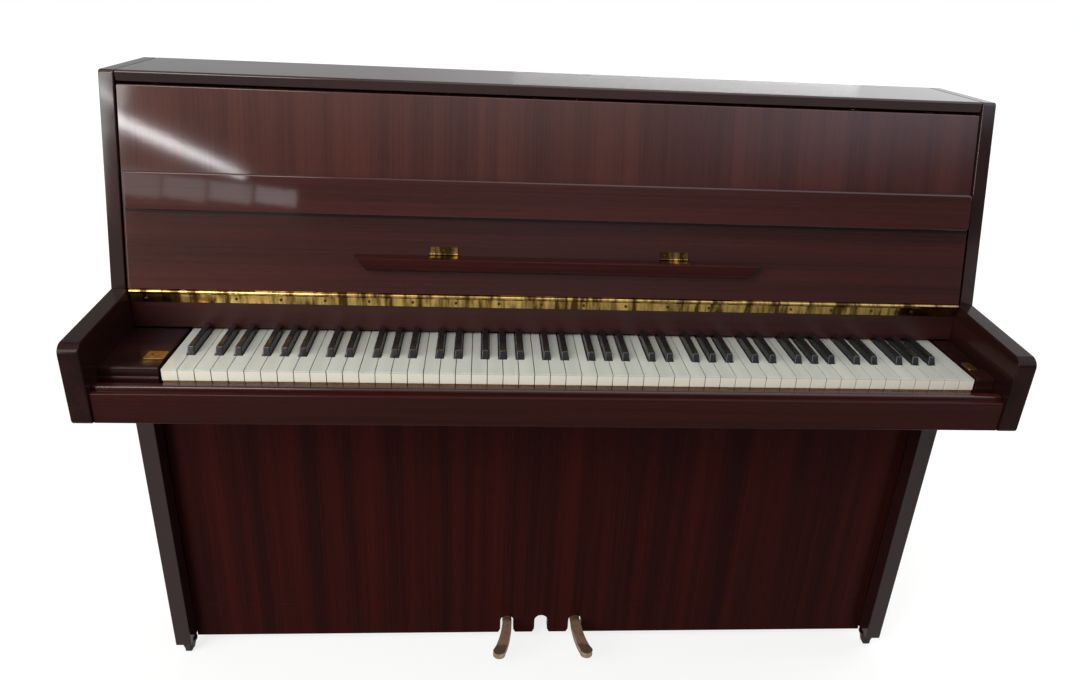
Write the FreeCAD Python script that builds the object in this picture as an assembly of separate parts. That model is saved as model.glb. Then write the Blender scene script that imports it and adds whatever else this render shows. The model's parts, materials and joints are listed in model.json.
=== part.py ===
import FreeCAD, Part
import math
import os

# A small console upright piano, built as the separate pieces a maker would put together.
# Millimetres.  +X runs from bass to treble, +Y from the player to the back, +Z up.
# The origin lies on the floor at the middle of the case's footprint.

V = FreeCAD.Vector
os.makedirs("parts", exist_ok=True)

# ------------------------------------------------------------------ case
case_width = 1400.0
case_height = 1084.0
case_depth = 480.0
side_thickness = 22.0          # upper part of each side board
cheek_thickness = 29.0         # arms and the lower part of each side board
side_clear_floor = 31.0        # underside of the side boards above the floor
frame_behind_sides = 27.0      # the back frame stands this far behind the side boards
action_front = 138.0           # front edge of the side boards to the hammers' pivots
upper_height = 453.0           # underside of the arms to the top of the case
arm_nose_height = 123.0
crease_above_arm = 135.0       # underside of the arm to where its top meets the leaning side
edge_lean = 14.4               # degrees, lean of the side's upper front edge
arm_nose_radius = 16.0
arm_foot_radius = 7.0
top_corner_radius = 6.0
edge_radius = 2.0

# ------------------------------------------------------------------ lid and panels
lid_thickness = 16.5
lid_side_gap = 1.0
lid_to_panel = 4.0
panel_thickness = 18.0
panel_setback = 4.5           # upper panel behind the side's leaning edge
panel_side_gap = 1.0
lower_panel_setback = 35.0     # lower panel behind the front edge of the sides
toe_rail_bottom = 23.5
toe_rail_top = 102.0
lower_panel_play = 1.0         # above the lower panel, to lift it out
bottom_board_bottom = 31.5
bottom_board_thickness = 12.0
keybed_thickness = 24.0
board_gap = 0.2                # fitted boards between the sides
name_board_advance = 6.0       # in front of the front edge of the side boards
name_board_thickness = 22.0
name_board_clear = 4.0         # above the white keys
name_board_height = 60.0       # its top above the white keys
name_board_shelf = 18.0        # thickness and reach of the shelf the upper panel stands on
keybed_rail_thickness = 10.0
keybed_rail_setback = 5.0      # behind the front of the arms
keybed_rail_height = 24.5      # above the key bed
key_slip_thickness = 12.0
key_slip_height = 31.0
moulding_radius = 3.5
left_block_width = 85.0
right_block_width = 29.0
key_block_height = 48.0
key_block_radius = 4.0
key_block_step = 2.0
key_block_gap = 3.0
block_plate_setback = 26.5     # behind the fronts of the keys
block_plate_length = 26.0
block_plate_widths = (29.0, 14.0)
block_plate_thickness = 1.5

# ------------------------------------------------------------------ fallboard
fallboard_hinge_rise = 6.0     # hinge axis above the name board
fallboard_hinge_stand = 4.5    # hinge axis in front of the name board
hinge_knuckle_radius = 3.6
hinge_pin_radius = 1.5
pin_clearance = 0.05
knuckle_gap = 0.5
fallboard_knuckles = 7
fallboard_thickness = 13.0
closed_slope = 14.5            # degrees the closed fallboard falls towards the front
closed_setback = 2.1           # its edge behind the fronts of the arms when closed
fallboard_side_gap = 2.0
nosing_width = 57.0
nosing_thickness = 18.0
nosing_end_inset = 9.0
nosing_corner = 7.0
nosing_edge_radii = (3.0, 2.0)    # upper and lower
hinge_leaf_thickness = 2.0
hinge_leaf_height = 18.0
ledge_length = 648.0
ledge_end_taper = 22.0         # the ends slant inwards towards the ledge's underside
ledge_depth = 20.0
ledge_thickness = 24.5
ledge_place = 0.52             # its top as a share of the bare face below the nosing
ledge_hinge_offset = 184.0
ledge_hinge_length = 45.0
ledge_hinge_height = 11.4
ledge_knuckle_radius = 1.7
ledge_pin_radius = 0.8
ledge_leaf_thickness = 1.4
rest_gap = 0.3                 # between pieces that only rest on each other
lid_hinge_radius = 2.9
lid_hinge_pin_radius = 1.2
lid_hinge_length = 70.0
lid_hinge_leaf = 1.6
lid_hinge_space = 6.5          # from the top of the back frame to the lid

# ------------------------------------------------------------------ keyboard
white_keys = 52
note_count = 88
key_setback = 42.0             # fronts of the keys behind the front of the arms
key_height = 45.0              # tops of the white keys above the key bed
key_gap = 1.0
cover_thickness = 2.4
cover_hidden = 8.0             # part of the covers under the name board
cover_front = 18.0             # height of the white key's front
cover_front_thickness = 2.0
key_head_length = 50.0
sharp_height = 12.0
sharp_base = 11.6
sharp_crown = 9.4
sharp_slope = 5.0              # how far the front face leans back
sharp_to_name_board = 3.0
sharp_front_gap = 1.6          # between a white key's head and the sharp behind it
stick_height = 22.0
key_to_action = 5.0            # between the keys' rear ends and the action rail
balance_ratio = 0.625          # balance pin's share of the key's length from the front
capstan_before_pivot = 34.0    # capstan in front of the wippen's pivot
capstan_size = 6.0
action_gap = 0.6               # let-off play between action parts
key_groups = 4                 # every fourth note shares a group

# ------------------------------------------------------------------ action
capstan_rise = 16.0            # heights in the action are above the white keys
wippen_width = 8.0
wippen_to_strings = 38.0
wippen_rise = 35.0
wippen_pivot_depth = 3.0       # pivot below the wippen's top
wippen_thickness = 12.0
wippen_heel_half = 6.0
wippen_heel_flare = 8.0
jack_thickness = 6.0
jack_to_hammer_pivot = 22.0
hammer_to_strings = 46.0
hammer_rise = 112.0
hammer_rest_angle = 19.5       # degrees the rest position leans towards the player
butt_width = 8.0
butt_neck = 14.0
butt_drop = 21.4               # butt's underside below its pivot
shank_thickness = 5.6
hammer_radius = 118.0          # pivot to the middle of the head
head_height = 26.0
head_width = 9.0
damper_notes = 68
damper_width = 9.0
damper_height = 36.0
damper_rise = 150.0
damper_lever_gap = 0.4         # behind the action rail
damper_lever_thickness = 4.0
damper_lever_rise = 62.0
rail_to_strings = 31.0
rail_thickness = 8.0
rail_rise = 45.0
rail_height = 60.0
rest_rail_size = 12.0
bracket_thickness = 3.0
lower_notes = 58               # a bracket stands above this many notes

# ------------------------------------------------------------------ back
post_depth = 50.0
post_width = 60.0
post_count = 5
back_rail_height = 60.0
liner_depth = 16.0
liner_width = 40.0
soundboard_thickness = 8.0
rib_count = 8
rib_width = 18.0
rib_depth = 12.0
plate_to_soundboard = 13.0
plate_thickness = 8.0
plate_below_rail = 11.0        # its top below the top of the back frame
plate_bottom = 110.0
plate_side_gap = 3.0
plate_rim = 28.0
strut_width = 30.0
strut_shares = (0.379, 0.575, 0.78)    # bars, as shares of the keyboard's width from the bass end
window_depths = (355.0, 255.0, 185.0, 145.0)   # lower corners of the treble windows under the bearing
pin_field = 105.0              # top of the plate to the bearing
bearing_above_soundboard = 20.0
bearing_half = 4.0
treble_to_plate = 11.0
bass_to_treble = 6.0
treble_wire = 0.8
bass_wire = 1.3
bass_notes = 26
shortest_string = 50.0
string_growth = 1.042
string_slant = 0.10       # sideways run of a treble string for each mm it drops
bass_fan = (0.16, 0.10)    # the same for the lowest and the highest bass string
strike_rise = 93.0             # height above the hammers' pivots where a string stands behind its note
bridge_width = 26.0
bass_bridge_rise = 42.0        # lowest bass string's bridge above the plate's lower edge
bass_bridge_climb = 0.6     # from one bass note to the next
string_tail = 26.0         # below the bridge
tuning_pin_size = 6.0
tuning_pin_reach = 26.0
first_pin_row = 24.0           # above the bearing
pin_row_pitch = 26.0
pin_rows = 3

# ------------------------------------------------------------------ pedals and casters
pedal_spacing = 68.5
pedal_centre = 6.0             # middle notch beside the middle of the case
notch_width = 26.0
notch_flare = 4.0              # rounded lower corners of the notches
notch_top = 66.5
well_depth = 58.0              # cut in the floor of the case behind the toe rail
block_depth = 37.0             # block that carries the pedals
axle_behind_rail = 27.0        # pedal axle behind the toe rail's front
pedal_axis_z = 50.0
pedal_bar = 12.0               # thickness of the pedal behind its axle and at its tip
pedal_shank = 18.0
pedal_neck_top = 64.0
pedal_tip_reach = 113.0        # pedal tip in front of its axle
pedal_tip_radius = 12.0
pedal_tip_swing = 16.0         # the outer pedals' tips curve outwards
pedal_past_dowel = 7.0         # end of the pedal's tail behind the dowel
pedal_pin_radius = 3.0
cheek_half = 7.0               # half the width of the cheeks at the axle
cheek_thick = 4.0
dowel_radius = 5.0
dowel_foot_radius = 1.5
dowel_to_strings = 29.0
dowel_rise = 8.0               # its top above the white keys
dowel_clearance = 1.5
caster_inset = 16.5            # caster centre inside the case's outer face
caster_from_front = 22.0       # behind the front edge of the side boards
caster_from_rear = 33.0
caster_radius = 16.0
wheel_radius = 12.0
wheel_width = 9.0
axle_radius = 2.0
caster_plate = 4.0
caster_mouth = 9.5             # radius of the horn at its lower end

# ------------------------------------------------------------------ places worked out from the sizes
half_width = case_width / 2
upper_inside = half_width - side_thickness
lower_inside = half_width - cheek_thickness
front_y = -case_depth / 2
back_y = case_depth / 2
side_rear_y = back_y - frame_behind_sides
post_front_y = back_y - post_depth
soundboard_rear_y = post_front_y - liner_depth
soundboard_front_y = soundboard_rear_y - soundboard_thickness
plate_front_y = soundboard_front_y - plate_to_soundboard - plate_thickness
string_plane_y = plate_front_y - treble_to_plate
bass_plane_y = string_plane_y - bass_to_treble
wippen_pivot_y = string_plane_y - wippen_to_strings
hammer_pivot_y = string_plane_y - hammer_to_strings
jack_centre_y = hammer_pivot_y - jack_to_hammer_pivot
rail_front_y = string_plane_y - rail_to_strings
rail_rear_y = rail_front_y + rail_thickness
damper_lever_front = rail_rear_y + damper_lever_gap
arm_root_y = hammer_pivot_y - action_front
name_front_y = arm_root_y - name_board_advance
name_rear_y = name_front_y + name_board_thickness
lower_front_y = arm_root_y + lower_panel_setback
lower_rear_y = lower_front_y + panel_thickness
pedal_axis_y = lower_front_y + axle_behind_rail
dowel_y = string_plane_y - dowel_to_strings
keybed_rear_y = dowel_y + 3 * dowel_radius
key_front_y = front_y + key_setback
key_rear_y = rail_front_y - key_to_action
balance_y = key_front_y + balance_ratio * (key_rear_y - key_front_y)
capstan_y = wippen_pivot_y - capstan_before_pivot

arm_underside = case_height - upper_height
arm_nose_top = arm_underside + arm_nose_height
crease_height = arm_underside + crease_above_arm
lid_bottom = case_height - lid_thickness
keybed_top = arm_underside + keybed_thickness
keybed_rail_top = keybed_top + keybed_rail_height
key_slip_top = keybed_top + key_slip_height
key_block_top = keybed_top + key_block_height
key_top = keybed_top + key_height
stick_top = key_top - cover_thickness
stick_bottom = stick_top - stick_height
name_board_top = key_top + name_board_height
capstan_top = key_top + capstan_rise
wippen_pivot_z = key_top + wippen_rise
wippen_top = wippen_pivot_z + wippen_pivot_depth
hammer_pivot_z = key_top + hammer_rise
butt_bottom = hammer_pivot_z - butt_drop
damper_base = key_top + damper_rise
damper_lever_bottom = key_top + damper_lever_rise
rail_bottom = key_top + rail_rise
rail_top = rail_bottom + rail_height
dowel_top = key_top + dowel_rise
back_rail_top = lid_bottom - lid_hinge_space
plate_top = back_rail_top - plate_below_rail
bearing_height = plate_top - pin_field
soundboard_top = bearing_height - bearing_above_soundboard
soundboard_bottom = plate_bottom + 5.0
pedal_block_bottom = notch_top + 5.5
strike_height = hammer_pivot_z + strike_rise

keyboard_left = -lower_inside + left_block_width + key_block_gap
keyboard_right = lower_inside - right_block_width - key_block_gap
keyboard_width = keyboard_right - keyboard_left
white_pitch = keyboard_width / white_keys

lean = math.radians(edge_lean)
top_front_y = arm_root_y + (case_height - crease_height) * math.tan(lean)
hinge_y = name_front_y - fallboard_hinge_stand
hinge_z = name_board_top + fallboard_hinge_rise
fallboard_length = (hinge_y - front_y - closed_setback) / math.cos(math.radians(closed_slope))
nosing_low = fallboard_length - nosing_width
ledge_top = ledge_place * nosing_low


# ------------------------------------------------------------------ shape helpers
def box(x0, x1, y0, y1, z0, z1):
    return Part.makeBox(x1 - x0, y1 - y0, z1 - z0, V(x0, y0, z0))


def rod(radius, start, direction, length):
    return Part.makeCylinder(radius, length, start, direction)


def cross_rod(radius, x0, x1, y, z):
    """A round bar along X."""
    return rod(radius, V(x0, y, z), V(1, 0, 0), x1 - x0)


def outline(corners, place):
    """A closed face through corners (a, b) or (a, b, radius), put into space by place(a, b)."""
    count = len(corners)
    stops = []
    for i, corner in enumerate(corners):
        radius = corner[2] if len(corner) > 2 else 0.0
        here = V(corner[0], corner[1], 0)
        if radius <= 0:
            stops.append((here, None, here))
            continue
        back = corners[i - 1]
        ahead = corners[(i + 1) % count]
        to_back = (V(back[0], back[1], 0) - here).normalize()
        to_ahead = (V(ahead[0], ahead[1], 0) - here).normalize()
        half = to_back.getAngle(to_ahead) / 2
        reach = radius / math.tan(half)
        centre = here + (to_back + to_ahead).normalize() * (radius / math.sin(half))
        middle = centre + (here - centre).normalize() * radius
        stops.append((here + to_back * reach, middle, here + to_ahead * reach))
    edges = []
    for i, (start, middle, end) in enumerate(stops):
        if middle is not None:
            arc = [place(point.x, point.y) for point in (start, middle, end)]
            edges.append(Part.Arc(*arc).toShape())
        following = stops[(i + 1) % count][0]
        if end.distanceToPoint(following) > 1e-6:
            edges.append(Part.makeLine(place(end.x, end.y), place(following.x, following.y)))
    return Part.Face(Part.Wire(edges))


def along_x(corners, x0, x1):
    return outline(corners, lambda a, b: V(x0, a, b)).extrude(V(x1 - x0, 0, 0))


def along_y(corners, y0, y1):
    return outline(corners, lambda a, b: V(a, y0, b)).extrude(V(0, y1 - y0, 0))


def along_z(corners, z0, z1):
    return outline(corners, lambda a, b: V(a, b, z0)).extrude(V(0, 0, z1 - z0))


def turned(y, z, pivot_y, pivot_z, degrees):
    """A point in the side view after a right-hand turn about +X."""
    angle = math.radians(degrees)
    dy = y - pivot_y
    dz = z - pivot_z
    return (pivot_y + dy * math.cos(angle) - dz * math.sin(angle),
            pivot_z + dy * math.sin(angle) + dz * math.cos(angle))


def leaned(shape):
    """Put a shape drawn upright on the fallboard's hinge axis onto the leaning fallboard."""
    shape = shape.copy()
    shape.rotate(V(0, 0, 0), V(1, 0, 0), -edge_lean)
    shape.translate(V(0, hinge_y, hinge_z))
    return shape


def mirrored(shape):
    return shape.mirror(V(0, 0, 0), V(1, 0, 0))


def save(node, shapes):
    solids = shapes if isinstance(shapes, list) else [shapes]
    shape = solids[0] if len(solids) == 1 else Part.makeCompound(solids)
    shape.exportStep("parts/" + node + ".step")


def knuckle_spans(x0, x1, count):
    """The stretches of a hinge's knuckles between x0 and x1, with the running gap between them."""
    step = (x1 - x0) / count
    return [(x0 + i * step + knuckle_gap / 2, x0 + (i + 1) * step - knuckle_gap / 2) for i in range(count)]


def knuckle(x0, x1, y, z, radius, pin):
    return cross_rod(radius, x0, x1, y, z).cut(cross_rod(pin + pin_clearance, x0 - 1, x1 + 1, y, z))


# ------------------------------------------------------------------ case boards
def side_board():
    """Treble side: a board that leans back above the arm, thicker below the key bed."""
    upper = along_x([
        (arm_root_y, side_clear_floor),
        (side_rear_y, side_clear_floor),
        (side_rear_y, case_height, edge_radius),
        (top_front_y, case_height, top_corner_radius),
        (arm_root_y, crease_height),
    ], upper_inside, half_width)
    lower = box(lower_inside, upper_inside, arm_root_y, side_rear_y, side_clear_floor, arm_underside)
    return upper.fuse(lower).removeSplitter()


def arm():
    """Treble arm: a cheek with a rounded nose, glued to the front of the side board."""
    return along_x([
        (arm_root_y, arm_underside),
        (arm_root_y, crease_height),
        (front_y, arm_nose_top, arm_nose_radius),
        (front_y, arm_underside, arm_foot_radius),
    ], lower_inside, half_width)


def lid():
    body = along_x([
        (top_front_y, lid_bottom, edge_radius),
        (side_rear_y, lid_bottom),
        (side_rear_y, case_height),
        (top_front_y, case_height, 2 * edge_radius),
    ], -upper_inside + lid_side_gap, upper_inside - lid_side_gap)
    return body


def upper_panel():
    """Front panel above the keys, leaning with the sides, standing on the name board's shelf."""
    half = upper_inside - panel_side_gap
    top = lid_bottom - lid_to_panel
    low = name_board_top
    corners = []
    for offset, z in ((0, low), (panel_thickness, low), (panel_thickness, top), (0, top)):
        stand = (panel_front_offset() + offset) / math.cos(lean)
        corners.append((hinge_y + stand + (z - hinge_z) * math.tan(lean), z))
    corners[3] += (edge_radius,)
    return along_x(corners, -half, half)


def panel_front_offset():
    """Upper panel's front face behind the fallboard's front face."""
    edge_y = arm_root_y + (hinge_z - crease_height) * math.tan(lean)
    return (edge_y - hinge_y) * math.cos(lean) + panel_setback


def name_board():
    """Board behind the keys, with a shelf along its back that the upper panel stands on."""
    half = lower_inside - board_gap
    shelf_bottom = name_board_top - name_board_shelf
    return along_x([
        (name_front_y, key_top + name_board_clear, edge_radius),
        (name_rear_y, key_top + name_board_clear),
        (name_rear_y, shelf_bottom),
        (name_rear_y + name_board_shelf, shelf_bottom),
        (name_rear_y + name_board_shelf, name_board_top),
        (name_front_y, name_board_top),
    ], -half, half)


def keybed():
    """Board that carries the keys: narrow between the arms, wide between the side boards."""
    front = front_y + keybed_rail_setback + keybed_rail_thickness
    narrow = lower_inside - board_gap
    wide = upper_inside - board_gap
    bed = along_z([
        (-narrow, front), (narrow, front), (narrow, arm_root_y), (wide, arm_root_y),
        (wide, keybed_rear_y), (-wide, keybed_rear_y), (-wide, arm_root_y), (-narrow, arm_root_y),
    ], arm_underside, keybed_top)
    for x in pedal_places():
        start = V(x, dowel_y, arm_underside - 1)
        bed = bed.cut(rod(dowel_radius + dowel_clearance, start, V(0, 0, 1), keybed_thickness + 2))
    return bed


def keybed_rail():
    front = front_y + keybed_rail_setback
    rear = front + keybed_rail_thickness
    half = lower_inside - board_gap
    return along_x([
        (front, arm_underside, edge_radius), (rear, arm_underside),
        (rear, keybed_rail_top), (front, keybed_rail_top, moulding_radius),
    ], -half, half)


def key_slip():
    front = front_y + keybed_rail_setback + keybed_rail_thickness
    rear = front + key_slip_thickness
    half = lower_inside - board_gap
    return along_x([
        (front, keybed_top), (rear, keybed_top),
        (rear, key_slip_top, edge_radius), (front, key_slip_top, moulding_radius),
    ], -half, half)


def key_blocks():
    """Stepped blocks that fill the ends of the key bed beside the first and last keys."""
    rear = name_front_y - 1.0
    section = [
        (key_front_y - key_block_step, keybed_top),
        (rear, keybed_top),
        (rear, key_block_top),
        (key_front_y, key_block_top, key_block_radius),
        (key_front_y, key_slip_top + edge_radius),
        (key_front_y - key_block_step, key_slip_top, edge_radius / 2),
    ]
    left = along_x(section, -lower_inside + board_gap, keyboard_left - key_block_gap)
    right = along_x(section, keyboard_right + key_block_gap, lower_inside - board_gap)
    return [left, right]


def key_block_plates():
    """Thin brass plates on the blocks, beside the end keys."""
    front = key_front_y + block_plate_setback
    rear = front + block_plate_length
    margin = key_block_gap + 1.0
    spans = [(keyboard_left - margin - block_plate_widths[0], keyboard_left - margin),
             (keyboard_right + margin, keyboard_right + margin + block_plate_widths[1])]
    plates = []
    for x0, x1 in spans:
        plates.append(along_z([(x0, front, 2), (x1, front, 2), (x1, rear, 2), (x0, rear, 2)],
                              key_block_top, key_block_top + block_plate_thickness))
    return plates


def lower_panel():
    half = lower_inside - panel_side_gap
    return box(-half, half, lower_front_y, lower_rear_y, toe_rail_top, arm_underside - lower_panel_play)


def pedal_places():
    return [pedal_centre - pedal_spacing, pedal_centre + pedal_spacing]


def toe_rail():
    """Bottom rail with three arched notches for pedals, their lower corners flared."""
    half = lower_inside - board_gap
    rail = box(-half, half, lower_front_y, lower_rear_y, toe_rail_bottom, toe_rail_top)
    narrow = notch_width / 2
    wide = narrow + notch_flare
    for x in (pedal_centre - pedal_spacing, pedal_centre, pedal_centre + pedal_spacing):
        notch = along_y([
            (x - wide, toe_rail_bottom - 1), (x + wide, toe_rail_bottom - 1),
            (x + wide, toe_rail_bottom), (x + narrow, toe_rail_bottom + 2 * notch_flare, 2 * notch_flare),
            (x + narrow, notch_top, narrow / 1.005), (x - narrow, notch_top, narrow / 1.005),
            (x - narrow, toe_rail_bottom + 2 * notch_flare, 2 * notch_flare), (x - wide, toe_rail_bottom),
        ], lower_front_y - 1, lower_rear_y + 1)
        rail = rail.cut(notch)
    return rail


def bottom_board():
    """Floor of the case, cut away behind the pedals, with the block that carries them."""
    half = lower_inside - board_gap
    top = bottom_board_bottom + bottom_board_thickness
    left = pedal_centre - pedal_spacing - notch_width
    right = pedal_centre + pedal_spacing + notch_width
    board = box(-half, half, lower_rear_y, post_front_y, bottom_board_bottom, top)
    well = box(left, right, lower_rear_y - 1, lower_rear_y + well_depth, bottom_board_bottom - 1, top + 1)
    board = board.cut(well)
    block = box(left, right, lower_rear_y, lower_rear_y + block_depth, pedal_block_bottom, toe_rail_top)
    return [board, block]


# ------------------------------------------------------------------ fallboard and ledge
def fallboard():
    half = lower_inside - fallboard_side_gap
    foot = hinge_knuckle_radius + 0.4
    section = [
        (0, foot), (fallboard_thickness, foot),
        (fallboard_thickness, fallboard_length, 5.0), (0, fallboard_length, edge_radius),
    ]
    return leaned(along_x(section, -half, half))


def fallboard_nosing():
    """Lip along the free edge of the fallboard, proud of its inner face, with rounded ends."""
    half = lower_inside - fallboard_side_gap - nosing_end_inset
    plan = along_y([
        (-half, nosing_low, nosing_corner), (half, nosing_low, nosing_corner),
        (half, fallboard_length, nosing_corner), (-half, fallboard_length, nosing_corner),
    ], -nosing_thickness, 0)
    section = along_x([
        (0, nosing_low), (0, fallboard_length),
        (-nosing_thickness, fallboard_length, nosing_edge_radii[0]),
        (-nosing_thickness, nosing_low, nosing_edge_radii[1]),
    ], -half, half)
    return leaned(plan.common(section))


def fallboard_hinge():
    """The continuous hinge: its fixed leaf, knuckles and pin, and its moving leaf and knuckles."""
    half = lower_inside - fallboard_side_gap - 1.0
    bore = hinge_pin_radius + pin_clearance
    foot = hinge_knuckle_radius + 0.4
    front = name_front_y - hinge_leaf_thickness
    low = hinge_z - hinge_leaf_height
    fixed = box(-half, half, front, name_front_y, low, hinge_z - foot)
    moving = box(-half, half, foot, fallboard_thickness - 1.0, foot - hinge_leaf_thickness, foot)
    for i, (x0, x1) in enumerate(knuckle_spans(-half, half, fallboard_knuckles)):
        if i % 2 == 0:
            tube = knuckle(x0, x1, hinge_y, hinge_z, hinge_knuckle_radius, hinge_pin_radius)
            web = box(x0, x1, front, name_front_y, low, hinge_z)
            fixed = fixed.fuse([web.cut(cross_rod(bore, x0, x1, hinge_y, hinge_z)), tube])
        else:
            tube = knuckle(x0, x1, 0, 0, hinge_knuckle_radius, hinge_pin_radius)
            web = box(x0, x1, 0, foot, foot - hinge_leaf_thickness, foot)
            moving = moving.fuse([web, tube])
    pin = cross_rod(hinge_pin_radius, -half, half, hinge_y, hinge_z)
    return [fixed.removeSplitter(), pin], leaned(moving.removeSplitter())


def music_ledge():
    """Small shelf for sheet music, narrower at its underside, its top level while the fallboard is open."""
    long = ledge_length / 2
    short = long - ledge_end_taper
    low = ledge_top - ledge_thickness
    front_top = ledge_top - ledge_depth * math.tan(lean)
    face = along_y([(-short, low, 4.0), (short, low, 4.0), (long, ledge_top, 1.0), (-long, ledge_top, 1.0)],
                   -ledge_depth, -rest_gap)
    section = along_x([
        (-rest_gap, low), (-rest_gap, ledge_top),
        (-ledge_depth, front_top, 1.5), (-ledge_depth, low, 4.0),
    ], -long, long)
    return leaned(face.common(section))


def tipped(shape):
    """Turn a shape drawn square to the fallboard onto the ledge's sloping top."""
    shape.rotate(V(0, -rest_gap, ledge_top), V(1, 0, 0), edge_lean)
    return shape


def ledge_hinges():
    """Two brass butt hinges: plates on the fallboard above the ledge, leaves on the ledge's top."""
    plates = []
    leaves = []
    axis_n = -(ledge_knuckle_radius + 0.2)
    axis_u = ledge_top + ledge_knuckle_radius + 0.5
    leaf_front = -ledge_depth + 4.0
    leaf_top = ledge_top + ledge_leaf_thickness
    plate_top_u = axis_u + ledge_hinge_height
    clear = ledge_knuckle_radius + 0.3
    for centre in (-ledge_hinge_offset, ledge_hinge_offset):
        x0 = centre - ledge_hinge_length / 2
        x1 = centre + ledge_hinge_length / 2
        plate = box(x0, x1, -ledge_leaf_thickness, 0, axis_u + clear, plate_top_u)
        leaf = tipped(box(x0, x1, leaf_front, axis_n - clear, ledge_top, leaf_top))
        for i, (a, b) in enumerate(knuckle_spans(x0, x1, 3)):
            tube = knuckle(a, b, axis_n, axis_u, ledge_knuckle_radius, ledge_pin_radius)
            bore = cross_rod(ledge_pin_radius + pin_clearance, a, b, axis_n, axis_u)
            if i == 1:
                web = tipped(box(a, b, leaf_front, axis_n, ledge_top, leaf_top))
                leaf = leaf.fuse([web.cut(bore), tube])
            else:
                web = box(a, b, -ledge_leaf_thickness, 0, axis_u, plate_top_u)
                plate = plate.fuse([web.cut(bore), tube])
        pin = cross_rod(ledge_pin_radius, x0, x1, axis_n, axis_u)
        plates += [leaned(plate.removeSplitter()), leaned(pin)]
        leaves.append(leaned(leaf.removeSplitter()))
    return plates, leaves


# ------------------------------------------------------------------ lid hinges
def lid_hinges():
    """Three butt hinges: leaves on the back frame's top rail, leaves under the lid."""
    axis_y = side_rear_y + lid_hinge_radius + 0.6
    axis_z = lid_bottom - lid_hinge_radius
    leaf_top = back_rail_top + lid_hinge_leaf
    leaf_bottom = lid_bottom - lid_hinge_leaf
    fixed = []
    moving = []
    for centre in (-0.75 * upper_inside, 0.0, 0.75 * upper_inside):
        x0 = centre - lid_hinge_length / 2
        x1 = centre + lid_hinge_length / 2
        lower = box(x0, x1, post_front_y, axis_y - lid_hinge_radius - 0.5, back_rail_top, leaf_top)
        upper = box(x0, x1, post_front_y - 10.0, side_rear_y, leaf_bottom, lid_bottom)
        for i, (a, b) in enumerate(knuckle_spans(x0, x1, 3)):
            tube = knuckle(a, b, axis_y, axis_z, lid_hinge_radius, lid_hinge_pin_radius)
            if i == 1:
                web_rear = axis_y - lid_hinge_pin_radius - 0.2
                web = box(a, b, side_rear_y - 1.0, web_rear, leaf_bottom, lid_bottom)
                upper = upper.fuse([web, tube])
            else:
                bore = cross_rod(lid_hinge_pin_radius + pin_clearance, a, b, axis_y, axis_z)
                web_front, web_top = axis_y - lid_hinge_radius - 1.0, axis_z - lid_hinge_radius + 0.8
                web = box(a, b, web_front, axis_y, back_rail_top, web_top)
                lower = lower.fuse([web.cut(bore), tube])
        pin = cross_rod(lid_hinge_pin_radius, x0, x1, axis_y, axis_z)
        fixed += [lower.removeSplitter(), pin]
        moving.append(upper.removeSplitter())
    return fixed, moving


# ------------------------------------------------------------------ keyboard
def note_places():
    """For each note: whether it is a sharp, and the left and right edges of its tail."""
    sharps = (1, 3, 6, 8, 10)
    lows = (0, 2, 4)
    octave = 7 * white_pitch
    low_step = 3 * white_pitch / 5
    high_step = 4 * white_pitch / 7
    places = []
    for note in range(note_count):
        semitone = (note + 9) % 12
        octave_left = keyboard_left + ((note + 9) // 12) * octave - 5 * white_pitch
        if semitone < 5:
            middle = octave_left + (semitone + 0.5) * low_step
        else:
            middle = octave_left + 3 * white_pitch + (semitone - 5 + 0.5) * high_step
        places.append((semitone in sharps, middle, semitone))
    return places


def white_span(note, places):
    """Left and right edges of a white key's head, and of its tail between the sharps."""
    order = [0, 0, 1, 1, 2, 3, 3, 4, 4, 5, 5, 6]
    semitone = places[note][2]
    octave_left = keyboard_left + ((note + 9) // 12) * 7 * white_pitch - 5 * white_pitch
    left = octave_left + order[semitone] * white_pitch + key_gap / 2
    right = left + white_pitch - key_gap
    tail_left = left
    tail_right = right
    if note > 0 and places[note - 1][0]:
        tail_left = places[note - 1][1] + sharp_base / 2 + key_gap
    if note < note_count - 1 and places[note + 1][0]:
        tail_right = places[note + 1][1] - sharp_base / 2 - key_gap
    return left, right, tail_left, tail_right


def white_key(note, places):
    """Cover and stick, each in a full-width head and a tail that passes between the sharps."""
    left, right, tail_left, tail_right = white_span(note, places)
    head_rear = key_front_y + key_head_length - key_gap
    lip_rear = key_front_y + cover_front_thickness
    cover_head = box(left, right, key_front_y, head_rear, stick_top, key_top)
    lip = box(left, right, key_front_y, lip_rear, key_top - cover_front, stick_top)
    cover_tail = box(tail_left, tail_right, head_rear, name_front_y + cover_hidden, stick_top, key_top)
    stick_head = box(left, right, key_front_y, head_rear, stick_bottom, stick_top)
    stick_head = stick_head.cut(box(left, right, key_front_y, lip_rear, key_top - cover_front, stick_top))
    stick_tail = box(tail_left, tail_right, head_rear, key_rear_y, stick_bottom, stick_top)
    return [cover_head.fuse(lip).removeSplitter(), cover_tail, stick_head, stick_tail]


def black_key(note, places):
    middle = places[note][1]
    front = key_front_y + key_head_length - key_gap + sharp_front_gap
    rear = name_front_y - sharp_to_name_board
    base = sharp_base / 2
    crown = sharp_crown / 2
    low = [V(middle - base, front, stick_top), V(middle + base, front, stick_top),
           V(middle + base, rear, stick_top), V(middle - base, rear, stick_top)]
    high = [V(middle - crown, front + sharp_slope, key_top + sharp_height),
            V(middle + crown, front + sharp_slope, key_top + sharp_height),
            V(middle + crown, rear, key_top + sharp_height), V(middle - crown, rear, key_top + sharp_height)]
    cover = Part.makeLoft([Part.makePolygon(low + low[:1]), Part.makePolygon(high + high[:1])], True, True)
    stick = box(middle - base, middle + base, front, key_rear_y, stick_bottom, stick_top)
    return [cover, stick]


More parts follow.
